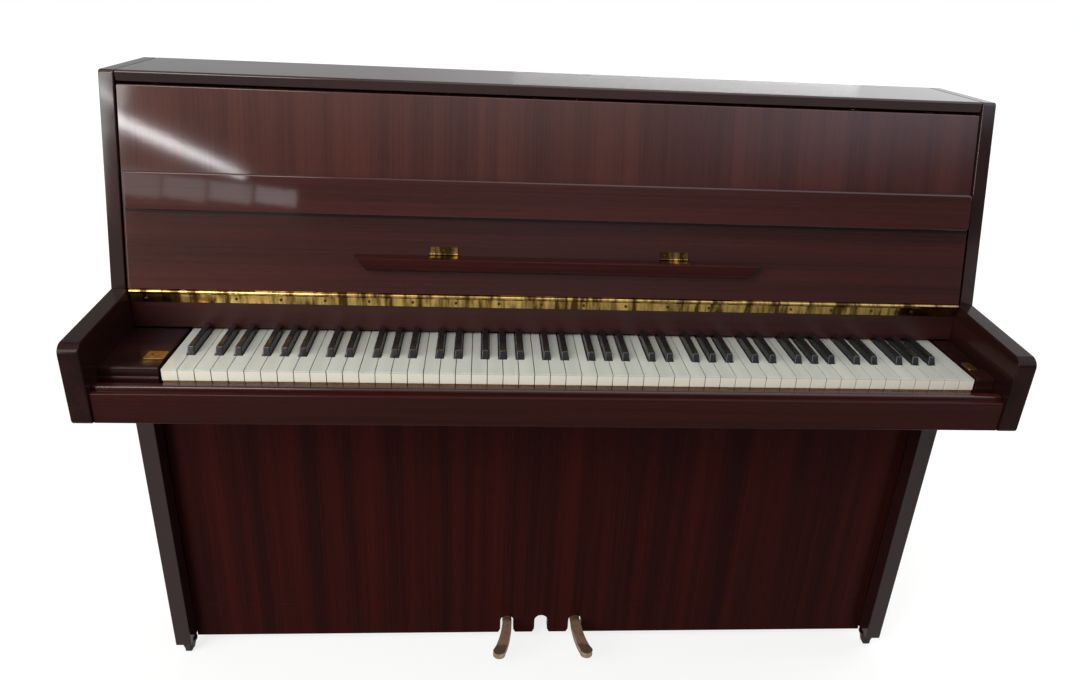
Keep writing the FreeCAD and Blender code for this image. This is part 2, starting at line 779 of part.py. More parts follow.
def key_frame():
    """Front, balance and back rails under the keys."""
    x0 = keyboard_left - 2.0
    x1 = keyboard_right + 2.0
    seat = stick_bottom - rest_gap
    front = box(x0, x1, key_front_y + 8, key_front_y + 33, keybed_top, keybed_top + 6.5)
    balance = along_x([
        (balance_y - 20, keybed_top), (balance_y - 20, seat - 3.3), (balance_y - 4, seat - 3.3),
        (balance_y - 4, seat), (balance_y + 4, seat),
        (balance_y + 4, seat - 3.3), (balance_y + 20, seat - 3.3), (balance_y + 20, keybed_top),
    ], x0, x1)
    back = box(x0, x1, key_rear_y - 28, key_rear_y, keybed_top, seat)
    return [front, balance, back]


def wippen(x):
    """Lever lifted by the key's capstan, with the upright jack that pushes the hammer."""
    half = wippen_width / 2
    heel_z = capstan_top + action_gap
    low = wippen_top - wippen_thickness
    front = capstan_y - wippen_heel_half - wippen_heel_flare
    rear = wippen_pivot_y + wippen_pivot_depth + 2.0
    body = along_x([
        (front, low), (capstan_y - wippen_heel_half, heel_z),
        (capstan_y + wippen_heel_half, heel_z), (capstan_y + wippen_heel_half + wippen_heel_flare, low),
        (rear, low), (rear, wippen_top), (front, wippen_top),
    ], x - half, x + half)
    jack = box(x - 2.5, x + 2.5, jack_centre_y - jack_thickness / 2, jack_centre_y + jack_thickness / 2,
               wippen_top, butt_bottom - action_gap)
    return [body, jack]


def at_rest(y, z):
    """From the striking position to the rest position of a hammer."""
    return turned(y, z, hammer_pivot_y, hammer_pivot_z, hammer_rest_angle)


def hammer(x, string_front):
    """Butt, shank and felt head."""
    neck_z = hammer_pivot_z + butt_neck
    head_z = hammer_pivot_z + hammer_radius
    heel_y = jack_centre_y - 4
    butt = along_x([
        (heel_y, butt_bottom), (hammer_pivot_y - 2, butt_bottom), (hammer_pivot_y + 7, butt_bottom + 10),
        at_rest(hammer_pivot_y + 7, neck_z), at_rest(hammer_pivot_y - 7, neck_z), (heel_y, butt_bottom + 10),
    ], x - butt_width / 2, x + butt_width / 2)
    t = shank_thickness / 2
    head_low = head_z - head_height / 2
    shank = along_x([
        at_rest(hammer_pivot_y - t, neck_z), at_rest(hammer_pivot_y + t, neck_z),
        at_rest(hammer_pivot_y + t, head_low), at_rest(hammer_pivot_y - t, head_low),
    ], x - t, x + t)
    tip = string_front - 0.5
    head = along_x([
        at_rest(hammer_pivot_y - 10, head_low), at_rest(tip - 16, head_low),
        at_rest(tip, head_z), at_rest(tip - 16, head_z + head_height / 2),
        at_rest(hammer_pivot_y - 10, head_z + head_height / 2 - 4),
    ], x - head_width / 2, x + head_width / 2)
    return [butt, shank, head]


def damper(x, string_front):
    """Felt-faced damper resting on the string, on its lever."""
    rear = damper_lever_front + damper_lever_thickness
    lever = box(x - 2, x + 2, damper_lever_front, rear, damper_lever_bottom, damper_base + damper_height)
    felt = box(x - damper_width / 2, x + damper_width / 2, rear, string_front - rest_gap,
               damper_base, damper_base + damper_height)
    return [lever, felt]


def action_rails():
    """The main action rail, and the padded rail the hammer shanks rest on."""
    x0 = keyboard_left - 4.0
    x1 = keyboard_right + 4.0
    main = box(x0, x1, rail_front_y, rail_rear_y, rail_bottom, rail_top)
    near = hammer_pivot_y - shank_thickness / 2 - rest_gap
    far = near - rest_rail_size
    low = hammer_pivot_z + 0.54 * hammer_radius
    high = low + rest_rail_size
    rest = along_x([at_rest(far, low), at_rest(near, low), at_rest(near, high), at_rest(far, high)], x0, x1)
    return [main, rest]


def action_brackets(places, rails):
    """Thin cast brackets that stand on the key bed between notes and carry the rails."""
    section = [
        (key_rear_y + 3, keybed_top), (rail_rear_y + 2, keybed_top),
        (rail_rear_y + 2, rail_top), (rail_front_y - 2, rail_top + 30),
        (hammer_pivot_y - 18, hammer_pivot_z + 84), (hammer_pivot_y - 44, hammer_pivot_z + 84),
        (hammer_pivot_y - 44, hammer_pivot_z + 66), (rail_front_y - 12, rail_top - 20),
        (rail_front_y - 6, capstan_top), (key_rear_y + 3, stick_top + 12),
    ]
    left = keyboard_left - 4.0 - bracket_thickness
    middles = [(places[n][1] + places[n + 1][1]) / 2 for n in (bass_notes - 1, lower_notes - 1)]
    starts = [left] + [m - bracket_thickness / 2 for m in middles] + [keyboard_right + 4.0]
    brackets = []
    for x in starts:
        bracket = along_x(section, x, x + bracket_thickness)
        for rail in rails:
            bracket = bracket.cut(rail)
        brackets += bracket.Solids
    return brackets


# ------------------------------------------------------------------ strings, plate and back
def string_length(note):
    return shortest_string * string_growth ** (note_count - 1 - note)


def string_x(note, z, places):
    """Where a note's string passes the height z; the bass strings cross over the treble ones."""
    if note < bass_notes:
        low, high = bass_fan
        fan = low + (high - low) * note / (bass_notes - 1)
        return places[note][1] + fan * (strike_height - z)
    return places[note][1] - string_slant * (strike_height - z)


def bridge_height(note):
    """Height at which a note's string crosses its bridge."""
    if note < bass_notes:
        return plate_bottom + bass_bridge_rise + bass_bridge_climb * note
    return bearing_height - string_length(note)


def pin_height(note):
    return bearing_height + first_pin_row + pin_row_pitch * (note % pin_rows)


def wire(start, end, plane_y, radius):
    """One string as a plain three-sided prism between two places (x, z)."""
    triangle = Part.Face(Part.makePolygon([
        V(start[0] - radius, plane_y - radius, start[1]), V(start[0] + radius, plane_y - radius, start[1]),
        V(start[0], plane_y + radius, start[1]), V(start[0] - radius, plane_y - radius, start[1]),
    ]))
    return triangle.extrude(V(end[0] - start[0], 0, end[1] - start[1]))


def strings(places):
    courses = []
    for note in range(note_count):
        high = pin_height(note) - tuning_pin_size
        low = bridge_height(note) - string_tail
        ends = [(string_x(note, z, places), z) for z in (high, low)]
        if note < bass_notes:
            courses.append(wire(ends[0], ends[1], bass_plane_y, bass_wire))
        else:
            courses.append(wire(ends[0], ends[1], string_plane_y, treble_wire))
    return courses


def tuning_pins(places):
    half = tuning_pin_size / 2
    front = plate_front_y - tuning_pin_reach
    pins = []
    for note in range(note_count):
        z = pin_height(note)
        x = string_x(note, z, places)
        pins.append(box(x - half, x + half, front, plate_front_y, z - half, z + half))
    return pins


def struts():
    """Places of the plate's upright bars, in the breaks between string sections."""
    return [keyboard_left + share * keyboard_width for share in strut_shares]


def bridges(places):
    """The curved treble bridge and the short bass bridge on the soundboard."""
    notes = list(range(bass_notes, note_count, 10)) + [note_count - 1]
    ends = [(string_x(n, bridge_height(n), places), bridge_height(n)) for n in notes]
    half = bridge_width / 2
    left, right = ends[0], ends[-1]
    upper = [(x, z + half * 1.3) for x, z in ends[1:-1]]
    lower = [(x, z - half) for x, z in reversed(ends[1:-1])]
    treble = along_y(
        [(left[0] - half, left[1] - half), (left[0] - half, left[1] + half)] + upper +
        [(right[0] + half, right[1] + half), (right[0] + half, right[1] - half)] + lower,
        string_plane_y + treble_wire + rest_gap, soundboard_front_y)
    rear = plate_front_y + plate_thickness + 3
    for x in struts():
        treble = treble.cut(box(x - 3, x + strut_width + 3, string_plane_y, rear, plate_bottom, plate_top))
    a, b = [(string_x(n, bridge_height(n), places), bridge_height(n)) for n in (0, bass_notes - 1)]
    x0 = a[0] - 14
    x1 = b[0] + 14
    bass = along_y([(x0, a[1] - half), (x1, b[1] - half), (x1, b[1] + half), (x0, a[1] + half)],
                   bass_plane_y + bass_wire + rest_gap, soundboard_front_y)
    return [treble, bass]


def iron_plate():
    """Cast plate: pin field at the top, bars between the string sections, rim on the soundboard."""
    outer = lower_inside - plate_side_gap
    rear = plate_front_y + plate_thickness
    plate = box(-outer, outer, plate_front_y, rear, plate_bottom, plate_top)
    inner = outer - plate_rim
    bars = struts()
    edges = [-inner - strut_width] + bars + [inner]
    depths = [bearing_height - depth for depth in window_depths]
    bottoms = [(plate_bottom + 20,) * 2, (plate_bottom + 40,) * 2, tuple(depths[:2]), tuple(depths[2:])]
    for i, (low_left, low_right) in enumerate(bottoms):
        x0 = edges[i] + strut_width
        x1 = edges[i + 1]
        corners = [(x0, low_left, 8), (x1, low_right, 8), (x1, soundboard_top, 8), (x0, soundboard_top, 8)]
        window = along_y(corners, plate_front_y - 1, rear + 1)
        plate = plate.cut(window)
    rim = [
        box(-outer, -outer + plate_rim - 8, rear, soundboard_front_y, plate_bottom + 5, soundboard_top),
        box(outer - plate_rim + 8, outer, rear, soundboard_front_y, plate_bottom + 5, soundboard_top),
        box(-outer, outer, rear, soundboard_front_y, plate_bottom + 5, plate_bottom + 20),
    ]
    bearing = box(keyboard_left, keyboard_right, string_plane_y + treble_wire + rest_gap, plate_front_y,
                  bearing_height - bearing_half, bearing_height + bearing_half)
    return plate.fuse(rim + [bearing]).removeSplitter()


def pin_block():
    outer = lower_inside - plate_side_gap
    return box(-outer, outer, plate_front_y + plate_thickness, post_front_y, soundboard_top + 5, plate_top)


def soundboard():
    outer = lower_inside - plate_side_gap
    return box(-outer, outer, soundboard_front_y, soundboard_rear_y, soundboard_bottom, soundboard_top)


def back_frame():
    """Posts between two heavy rails, and the liner the soundboard is glued to."""
    outer = lower_inside
    low = side_clear_floor
    posts_low = low + back_rail_height
    posts_high = back_rail_top - back_rail_height
    pieces = [
        box(-outer, outer, post_front_y, back_y, posts_high, back_rail_top),
        box(-outer, outer, post_front_y, back_y, low, posts_low),
    ]
    step = (2 * outer - post_width) / (post_count - 1)
    for i in range(post_count):
        x = -outer + i * step
        pieces.append(box(x, x + post_width, post_front_y, back_y, posts_low, posts_high))
    rim = lower_inside - plate_side_gap
    liner_low = soundboard_bottom + liner_width
    liner_high = soundboard_top - liner_width
    for z0, z1 in ((liner_high, soundboard_top), (soundboard_bottom, liner_low)):
        pieces.append(box(-rim, rim, soundboard_rear_y, post_front_y, z0, z1))
    for x in (-rim, rim - liner_width):
        pieces.append(box(x, x + liner_width, soundboard_rear_y, post_front_y, liner_low, liner_high))
    return pieces


def soundboard_ribs():
    """Diagonal ribs across the back of the soundboard, inside the liner."""
    reach = lower_inside - plate_side_gap - liner_width - 1.0
    low = soundboard_bottom + liner_width + 1.0
    high = soundboard_top - liner_width - 1.0
    field = box(-reach, reach, soundboard_rear_y, soundboard_rear_y + rib_depth, low, high)
    ribs = []
    step = 2 * reach / rib_count
    half = rib_width / 2
    for i in range(rib_count):
        x = -reach + (i + 0.5) * step
        rib = box(-reach, reach, soundboard_rear_y, soundboard_rear_y + rib_depth, -half, half)
        rib.rotate(V(0, 0, 0), V(0, 1, 0), -45)
        rib.translate(V(x, 0, (low + high) / 2))
        ribs += rib.common(field).Solids
    return ribs


# ------------------------------------------------------------------ pedals
def pedal_plan(bend_y, tip_y, tail_y):
    """Half-round tip swung outwards, curving in to a straight shank."""
    half = pedal_shank / 2
    middle_y = (tip_y + bend_y) / 2
    left = pedal_tip_swing - pedal_tip_radius
    right = pedal_tip_swing + pedal_tip_radius
    waist_left = V(-half + (left + half) * 0.3, middle_y, 0)
    waist_right = V(half + (right - half) * 0.3, middle_y, 0)
    tail = [V(half, tail_y, 0), V(-half, tail_y, 0)]
    tip = V(pedal_tip_swing, tip_y - pedal_tip_radius, 0)
    return Part.Face(Part.Wire([
        Part.Arc(V(-half, bend_y, 0), waist_left, V(left, tip_y, 0)).toShape(),
        Part.Arc(V(left, tip_y, 0), tip, V(right, tip_y, 0)).toShape(),
        Part.Arc(V(right, tip_y, 0), waist_right, V(half, bend_y, 0)).toShape(),
        Part.makeLine(V(half, bend_y, 0), tail[0]), Part.makeLine(tail[0], tail[1]),
        Part.makeLine(tail[1], V(-half, bend_y, 0)),
    ]))


def pedal(side):
    """A cast pedal on a cross axle: a broad tip, a neck arched up through the notch, a straight tail."""
    half = pedal_shank / 2
    tip_y = pedal_axis_y - pedal_tip_reach + pedal_tip_radius
    bend_y = lower_front_y - 10.0
    tail_y = dowel_y + pedal_past_dowel
    top = pedal_axis_z + pedal_bar / 2
    low = pedal_axis_z - pedal_bar / 2
    tip = pedal_axis_z - pedal_bar
    front = tip_y - pedal_tip_radius
    profile = along_x([
        (front - 1, tip), (tip_y + pedal_tip_radius, tip, 20), (bend_y + 6, low + 3, 12),
        (pedal_axis_y - 6, low),
        (tail_y, low), (tail_y, top), (pedal_axis_y + 12, top, 12), (lower_rear_y - 4, pedal_neck_top, 8),
        (bend_y, pedal_neck_top, 14), (tip_y + pedal_tip_radius, pedal_axis_z, 24), (front - 1, pedal_axis_z),
    ], -2 * pedal_spacing, 2 * pedal_spacing)
    plan = pedal_plan(bend_y, tip_y, tail_y).extrude(V(0, 0, pedal_neck_top + 2))
    crown = along_y([
        (-half, 0), (half, 0), (half, pedal_neck_top + 1, half - 1), (-half, pedal_neck_top + 1, half - 1),
    ], bend_y, tail_y + 1)
    reach = box(-pedal_spacing, pedal_spacing, front - 1, bend_y, 0, pedal_neck_top + 2)
    body = plan.common(profile).common(crown.fuse(reach))
    bore = cross_rod(pedal_pin_radius + pin_clearance, -half - 1, half + 1, pedal_axis_y, pedal_axis_z)
    body = body.cut(bore)
    if side < 0:
        body = mirrored(body)
    body.translate(V(pedal_centre + side * pedal_spacing, 0, 0))
    return body


def pedal_brackets():
    """Cheeks that hang from the block and hold each pedal's axle, and the axles."""
    pieces = []
    gap = pedal_shank / 2 + 0.6
    foot = pedal_axis_z - 2 * pedal_pin_radius
    section = [
        (pedal_axis_y - cheek_half, foot, 3), (pedal_axis_y + cheek_half, foot, 3),
        (pedal_axis_y + 12, pedal_block_bottom), (pedal_axis_y - cheek_half, pedal_block_bottom),
    ]
    reach = gap + cheek_thick
    for x in pedal_places():
        axle = cross_rod(pedal_pin_radius, x - reach, x + reach, pedal_axis_y, pedal_axis_z)
        for x0 in (x - reach, x + gap):
            pieces.append(along_x(section, x0, x0 + cheek_thick).cut(axle))
        pieces.append(axle)
    return pieces


def dowel(x):
    """Upright rod with a tapered foot that takes the pedal's movement through the key bed."""
    bottom = pedal_axis_z + pedal_bar / 2 + rest_gap
    taper = dowel_radius
    foot = Part.makeCone(dowel_foot_radius, dowel_radius, taper, V(x, dowel_y, bottom), V(0, 0, 1))
    shaft = rod(dowel_radius, V(x, dowel_y, bottom + taper), V(0, 0, 1), dowel_top - bottom - taper)
    return foot.fuse(shaft)


# ------------------------------------------------------------------ casters
def caster_places():
    front = arm_root_y + caster_from_front
    rear = side_rear_y - caster_from_rear
    x = half_width - caster_inset
    return [("front_left", -x, front), ("front_right", x, front),
            ("rear_left", -x, rear), ("rear_right", x, rear)]


def caster_bracket(x, y):
    """Round plate and tapered horn, slotted for the wheel, with the axle through it."""
    plate_low = side_clear_floor - caster_plate
    plate = rod(caster_radius, V(x, y, plate_low), V(0, 0, 1), caster_plate)
    horn_low = wheel_radius - 4.0
    mouth = V(x, y, horn_low)
    horn = Part.makeCone(caster_mouth, caster_radius - 1.5, plate_low - horn_low, mouth, V(0, 0, 1))
    half = wheel_width / 2 + 0.6
    slot = box(x - half, x + half, y - 40, y + 40, 0, 2 * wheel_radius + 1.2)
    axle = cross_rod(axle_radius, x - caster_mouth + 1, x + caster_mouth - 1, y, wheel_radius)
    return plate.fuse([horn.cut(slot), axle]).removeSplitter()


def wheel(x, y):
    half = wheel_width / 2
    tread = cross_rod(wheel_radius, x - half, x + half, y, wheel_radius)
    return tread.cut(cross_rod(axle_radius + pin_clearance, x - half - 1, x + half + 1, y, wheel_radius))


# ------------------------------------------------------------------ build every node
def build():
    side = side_board()
    cheek = arm()
    save("side_right", side)
    save("side_left", mirrored(side))
    save("arm_right", cheek)
    save("arm_left", mirrored(cheek))
    save("lid", lid())
    save("upper_panel", upper_panel())
    save("name_board", name_board())
    save("keybed", keybed())
    save("keybed_rail", keybed_rail())
    save("key_slip", key_slip())
    save("key_blocks", key_blocks())
    save("key_block_plates", key_block_plates())
    save("lower_panel", lower_panel())
    save("toe_rail", toe_rail())
    save("bottom_board", bottom_board())

    save("fallboard", fallboard())
    save("fallboard_nosing", fallboard_nosing())
    fixed_leaf, moving_leaf = fallboard_hinge()
    lid_fixed, lid_moving = lid_hinges()
    save("fixed_hinge_leaves", fixed_leaf + lid_fixed)
    save("lid_hinge_leaves", lid_moving)
    save("music_ledge", music_ledge())
    plates, leaves = ledge_hinges()
    save("fallboard_hinge_leaves", [moving_leaf] + plates)
    save("ledge_hinge_leaves", leaves)

    places = note_places()
    half = capstan_size / 2
    groups = range(key_groups)
    whites = [[] for _ in groups]
    blacks = [[] for _ in groups]
    wippens = [[] for _ in groups]
    hammers = [[] for _ in groups]
    dampers = [[] for _ in groups]
    for note, (sharp, x, _) in enumerate(places):
        group = note % key_groups
        string_front = bass_plane_y - bass_wire if note < bass_notes else string_plane_y - treble_wire
        capstan = box(x - half, x + half, capstan_y - half, capstan_y + half, stick_top, capstan_top)
        if sharp:
            blacks[group] += black_key(note, places) + [capstan]
        else:
            whites[group] += white_key(note, places) + [capstan]
        wippens[group] += wippen(x)
        hammers[group] += hammer(x, string_front)
        if note < damper_notes:
            dampers[group] += damper(x, string_front)
    for group in groups:
        save("white_keys_%d" % (group + 1), whites[group])
        save("black_keys_%d" % (group + 1), blacks[group])
        save("wippens_%d" % (group + 1), wippens[group])
        save("hammers_%d" % (group + 1), hammers[group])
        save("dampers_%d" % (group + 1), dampers[group])
    save("key_frame", key_frame())
    rails = action_rails()
    save("action_frame", rails + action_brackets(places, rails))

    save("strings_and_pins", strings(places) + tuning_pins(places))
    save("ribs_and_bridges", soundboard_ribs() + bridges(places))
    save("iron_plate", iron_plate())
    save("pin_block", pin_block())
    save("soundboard", soundboard())
    save("back_frame", back_frame())

    save("pedal_left", pedal(-1))
    save("pedal_right", pedal(1))
    save("pedal_brackets", pedal_brackets())
    for side, x in zip(("left", "right"), pedal_places()):
        save("dowel_" + side, dowel(x))
    save("caster_brackets", [caster_bracket(x, y) for _, x, y in caster_places()])
    for name, x, y in caster_places():
        save("wheel_" + name, wheel(x, y))


build()
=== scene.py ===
# %% [markdown]
# # A small upright piano
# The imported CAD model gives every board, key, hinge and wheel at its real size and place.
# This file dresses it: it eases the edges of the lacquered boards, makes the keys with their covers
# and fronts, adds screws and felt, and gives each piece the finish that the real one has.
# Lengths are in metres, +X runs from bass to treble, +Y from the player to the back, +Z up.

import json
import math

import bmesh
import bpy
from mathutils import Matrix, Vector

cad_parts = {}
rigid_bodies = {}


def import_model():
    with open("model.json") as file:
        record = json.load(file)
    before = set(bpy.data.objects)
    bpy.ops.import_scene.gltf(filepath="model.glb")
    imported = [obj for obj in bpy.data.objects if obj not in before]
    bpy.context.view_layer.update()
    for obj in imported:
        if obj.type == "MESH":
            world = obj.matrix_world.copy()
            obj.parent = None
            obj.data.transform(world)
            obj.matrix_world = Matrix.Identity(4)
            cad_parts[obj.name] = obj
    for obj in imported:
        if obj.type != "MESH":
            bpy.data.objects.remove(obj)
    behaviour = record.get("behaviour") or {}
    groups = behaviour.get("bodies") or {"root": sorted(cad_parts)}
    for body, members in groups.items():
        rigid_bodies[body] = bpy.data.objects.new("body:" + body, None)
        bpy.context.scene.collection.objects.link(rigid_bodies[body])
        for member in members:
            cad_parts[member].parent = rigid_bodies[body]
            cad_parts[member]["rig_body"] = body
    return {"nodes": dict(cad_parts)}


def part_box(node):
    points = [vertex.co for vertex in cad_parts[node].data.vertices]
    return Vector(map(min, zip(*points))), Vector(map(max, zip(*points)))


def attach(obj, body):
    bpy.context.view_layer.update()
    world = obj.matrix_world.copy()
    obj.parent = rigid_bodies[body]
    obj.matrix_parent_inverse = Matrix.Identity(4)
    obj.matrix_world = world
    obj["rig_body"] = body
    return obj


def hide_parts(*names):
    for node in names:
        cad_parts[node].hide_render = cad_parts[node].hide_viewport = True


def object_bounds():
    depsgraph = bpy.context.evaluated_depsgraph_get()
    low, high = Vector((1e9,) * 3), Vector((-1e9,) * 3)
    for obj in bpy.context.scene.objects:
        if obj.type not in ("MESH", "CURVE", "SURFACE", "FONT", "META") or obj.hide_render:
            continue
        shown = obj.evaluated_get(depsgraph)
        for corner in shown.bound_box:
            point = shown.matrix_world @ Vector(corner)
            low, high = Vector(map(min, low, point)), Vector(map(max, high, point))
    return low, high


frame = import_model()
cad_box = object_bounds()
nodes = frame["nodes"]
MM = 0.001
print("CAD nodes:", len(nodes), "box:", [[round(v, 3) for v in corner] for corner in cad_box])

# %% [markdown]
# ## Camera, floor and light
# A piano like this is looked at from a standing person's height, a little to the left of its middle
# and close enough that the wide lens spreads the arms. The backdrop and the floor are white. The room
# in front of the piano, which dark lacquer mirrors, is dimmer, and one large soft lamp stands at the
# front left, where a window would be. Camera and lamps both look away from their backs, so one
# function sets either of them up.

# %% Camera
def standing(place, side, rise, back):
    """The matrix of a camera or lamp at a place, from the three ways that it is turned."""
    return Matrix((
        (side.x, rise.x, back.x, place[0]),
        (side.y, rise.y, back.y, place[1]),
        (side.z, rise.z, back.z, place[2]),
        (0.0, 0.0, 0.0, 1.0)))


eye = (-0.1224, -1.2861, 1.2472)
yaw, pitch, roll = 0.078, 0.423, 0.048
ahead = Vector((math.sin(yaw) * math.cos(pitch), math.cos(yaw) * math.cos(pitch), -math.sin(pitch)))
level = Vector((math.cos(yaw), -math.sin(yaw), 0.0))
upward = level.cross(ahead)
right = level * math.cos(roll) + upward * math.sin(roll)
up = upward * math.cos(roll) - level * math.sin(roll)

lens = bpy.data.cameras.new("camera")
lens.sensor_width = 36.0
lens.lens = 27.37
lens.clip_end = 60.0
camera = bpy.data.objects.new("camera", lens)
camera.matrix_world = standing(eye, right, up, -ahead)
bpy.context.scene.collection.objects.link(camera)
bpy.context.scene.camera = camera
bpy.context.scene.view_settings.view_transform = "Standard"
print("camera looks along", [round(v, 3) for v in ahead])

# %% [markdown]
# Every material below is written with the same three helpers: one turns an sRGB hex value into the
# linear colour that the shader wants, one adds a node with its settings and its links, and one starts
# a finish. Where several sockets share a name they go by number: a Map Range takes its value and the
# ends that it maps from and to as 0 to 4, and a colour Mix its factor and colours as 0, 6 and 7.

# %% Colour and node helpers
SMOOTH = "SMOOTHSTEP"


def lin(hex_value):
    channels = [int(hex_value[i:i + 2], 16) / 255 for i in (1, 3, 5)]
    return tuple(c / 12.92 if c <= 0.04045 else ((c + 0.055) / 1.055) ** 2.4 for c in channels) + (1.0,)


def add(tree, kind, inputs=None, stops=(), **settings):
    """A node with its settings, its values or links, and a colour ramp's two stops."""
    node = tree.nodes.new(kind)
    for name, value in settings.items():
        setattr(node, name, value)
    for number, (position, hex_value) in enumerate(stops):
        node.color_ramp.elements[number].position = position
        node.color_ramp.elements[number].color = lin(hex_value)
    for socket, value in (inputs or {}).items():
        if isinstance(value, bpy.types.NodeSocket):
            tree.links.new(value, node.inputs[socket])
        else:
            node.inputs[socket].default_value = value
    return node


def start_finish(name, **sockets):
    """A new material, its tree and shader, and the place on the piece that its patterns follow."""
    material = bpy.data.materials.new(name)
    material.use_nodes = True
    tree = material.node_tree
    shader = tree.nodes["Principled BSDF"]
    for socket, value in sockets.items():
        shader.inputs[socket.replace("_", " ")].default_value = value
    return material, tree, shader, add(tree, "ShaderNodeTexCoord").outputs["Object"]


print("white in linear light:", lin("#ffffff"))

# %% [markdown]
# The floor is matt paint that looks white from the camera and in mirror-like surfaces, and still
# takes a soft shadow: most of what is seen there is a plain white glow, weaker in mirrors,
# and the rest is lit paint, whose share fades out some steps away from the piano.
# Light that bounces on to the object sees a grey floor, so the low boards don't wash out.

# %% Floor
bpy.ops.mesh.primitive_plane_add(size=40, location=(0, 0, 0))
floor = bpy.context.object
floor.name = "floor"
floor_paint = bpy.data.materials.new("floor_matt_paint")
floor_paint.use_nodes = True
tree = floor_paint.node_tree
tree.nodes.clear()
rays = add(tree, "ShaderNodeLightPath").outputs
mirrored = add(tree, "ShaderNodeMath", {0: rays["Is Glossy Ray"], 1: rays["Is Transmission Ray"]},
               operation="MAXIMUM").outputs[0]
seen = add(tree, "ShaderNodeMath", {0: rays["Is Camera Ray"], 1: mirrored}, operation="MAXIMUM").outputs[0]
paint_tone = add(tree, "ShaderNodeMix", {0: seen, 6: lin("#8c8c8a"), 7: lin("#f2f2f0")}, data_type="RGBA")
paint = add(tree, "ShaderNodeBsdfDiffuse", {"Color": paint_tone.outputs[2]})
strength = add(tree, "ShaderNodeMapRange", {0: rays["Is Camera Ray"], 3: 0.55, 4: 1.1})
glow = add(tree, "ShaderNodeEmission", {"Color": lin("#ffffff"), "Strength": strength.outputs[0]})
place = add(tree, "ShaderNodeTexCoord").outputs["Object"]
distance = add(tree, "ShaderNodeVectorMath", {0: place}, operation="LENGTH").outputs["Value"]
plain = add(tree, "ShaderNodeMapRange", {0: distance, 1: 0.9, 2: 2.6, 3: 0.70, 4: 1.0},
            interpolation_type=SMOOTH)
share = add(tree, "ShaderNodeMath", {0: seen, 1: plain.outputs[0]}, operation="MULTIPLY")
both = add(tree, "ShaderNodeMixShader", {0: share.outputs[0], 1: paint.outputs[0], 2: glow.outputs[0]})
add(tree, "ShaderNodeOutputMaterial", {0: both.outputs[0]})
floor.data.materials.append(floor_paint)
print("floor:", tuple(floor.dimensions))

# %% [markdown]
# The world is white behind the piano. Mirror-like surfaces see it too, greyer towards the bass side,
# and in front they see the room: dim walls, lighter at the left, under a bright ceiling. Matt surfaces
# get an even, weak fill from all round.

# %% World
world = bpy.data.worlds.new("studio")
bpy.context.scene.world = world
world.use_nodes = True
tree = world.node_tree
tree.nodes.clear()
direction = add(tree, "ShaderNodeTexCoord").outputs["Generated"]
parts = add(tree, "ShaderNodeSeparateXYZ", {0: direction}).outputs
rays = add(tree, "ShaderNodeLightPath").outputs
behind = add(tree, "ShaderNodeMapRange", {0: parts["Y"], 1: -0.1, 2: 0.35, 3: 0.0, 4: 1.0}).outputs[0]
backdrop = add(tree, "ShaderNodeMapRange", {0: parts["X"], 1: -0.1, 2: 0.55, 3: 0.42, 4: 1.0}).outputs[0]
ceiling = add(tree, "ShaderNodeMapRange", {0: parts["Z"], 1: 0.26, 2: 0.42, 3: 0.34, 4: 1.2},
              interpolation_type=SMOOTH).outputs[0]
left_wall = add(tree, "ShaderNodeMapRange", {0: parts["X"], 1: -0.12, 2: -0.45, 3: 0.0, 4: 0.42},
                interpolation_type=SMOOTH).outputs[0]
right_wall = add(tree, "ShaderNodeMapRange", {0: parts["X"], 1: 0.08, 2: 0.45, 3: 0.0, 4: -0.14},
                 interpolation_type=SMOOTH).outputs[0]
room = add(tree, "ShaderNodeMath", {0: ceiling, 1: left_wall}, operation="ADD").outputs[0]
room = add(tree, "ShaderNodeMath", {0: room, 1: right_wall}, operation="ADD").outputs[0]
around = add(tree, "ShaderNodeMix", {0: behind, 2: room, 3: backdrop}, data_type="FLOAT").outputs[0]
mirror = add(tree, "ShaderNodeMix", {0: rays["Is Glossy Ray"], 2: 1.0, 3: around}, data_type="FLOAT")
light = add(tree, "ShaderNodeMix", {0: rays["Is Diffuse Ray"], 2: mirror.outputs[0], 3: 0.42},
            data_type="FLOAT")
print("room and backdrop:", len(tree.nodes), "nodes")

# %% [markdown]
# Daylight colours the room's reflections: the left wall is warm, and a patch of bluish skylight lies
# high at the right. Both count only for mirror-like surfaces that look to the front.

# %% Warm wall and skylight
facing = add(tree, "ShaderNodeMath", {0: 1.0, 1: behind}, operation="SUBTRACT").outputs[0]
front = add(tree, "ShaderNodeMath", {0: facing, 1: rays["Is Glossy Ray"]}, operation="MULTIPLY").outputs[0]
warm_side = add(tree, "ShaderNodeMapRange", {0: parts["X"], 1: 0.0, 2: -0.5}).outputs[0]
warmth = add(tree, "ShaderNodeMath", {0: front, 1: warm_side}, operation="MULTIPLY").outputs[0]
colour = add(tree, "ShaderNodeMix", {0: warmth, 6: lin("#ffffff"), 7: lin("#ffd6c0")}, data_type="RGBA")
room_light = add(tree, "ShaderNodeBackground", {0: colour.outputs[2], 1: light.outputs[0]})
sky_side = add(tree, "ShaderNodeMapRange", {0: parts["X"], 1: 0.15, 2: 0.52, 3: 0.0, 4: 1.3},
               interpolation_type=SMOOTH).outputs[0]
sky_height = add(tree, "ShaderNodeMapRange", {0: parts["Z"], 1: 0.23, 2: 0.33},
                 interpolation_type=SMOOTH).outputs[0]
patch = add(tree, "ShaderNodeMath", {0: sky_side, 1: sky_height}, operation="MULTIPLY").outputs[0]
patch = add(tree, "ShaderNodeMath", {0: patch, 1: front}, operation="MULTIPLY").outputs[0]
skylight = add(tree, "ShaderNodeBackground", {0: lin("#d2ddf8"), 1: patch})
whole = add(tree, "ShaderNodeAddShader", {0: room_light.outputs[0], 1: skylight.outputs[0]})
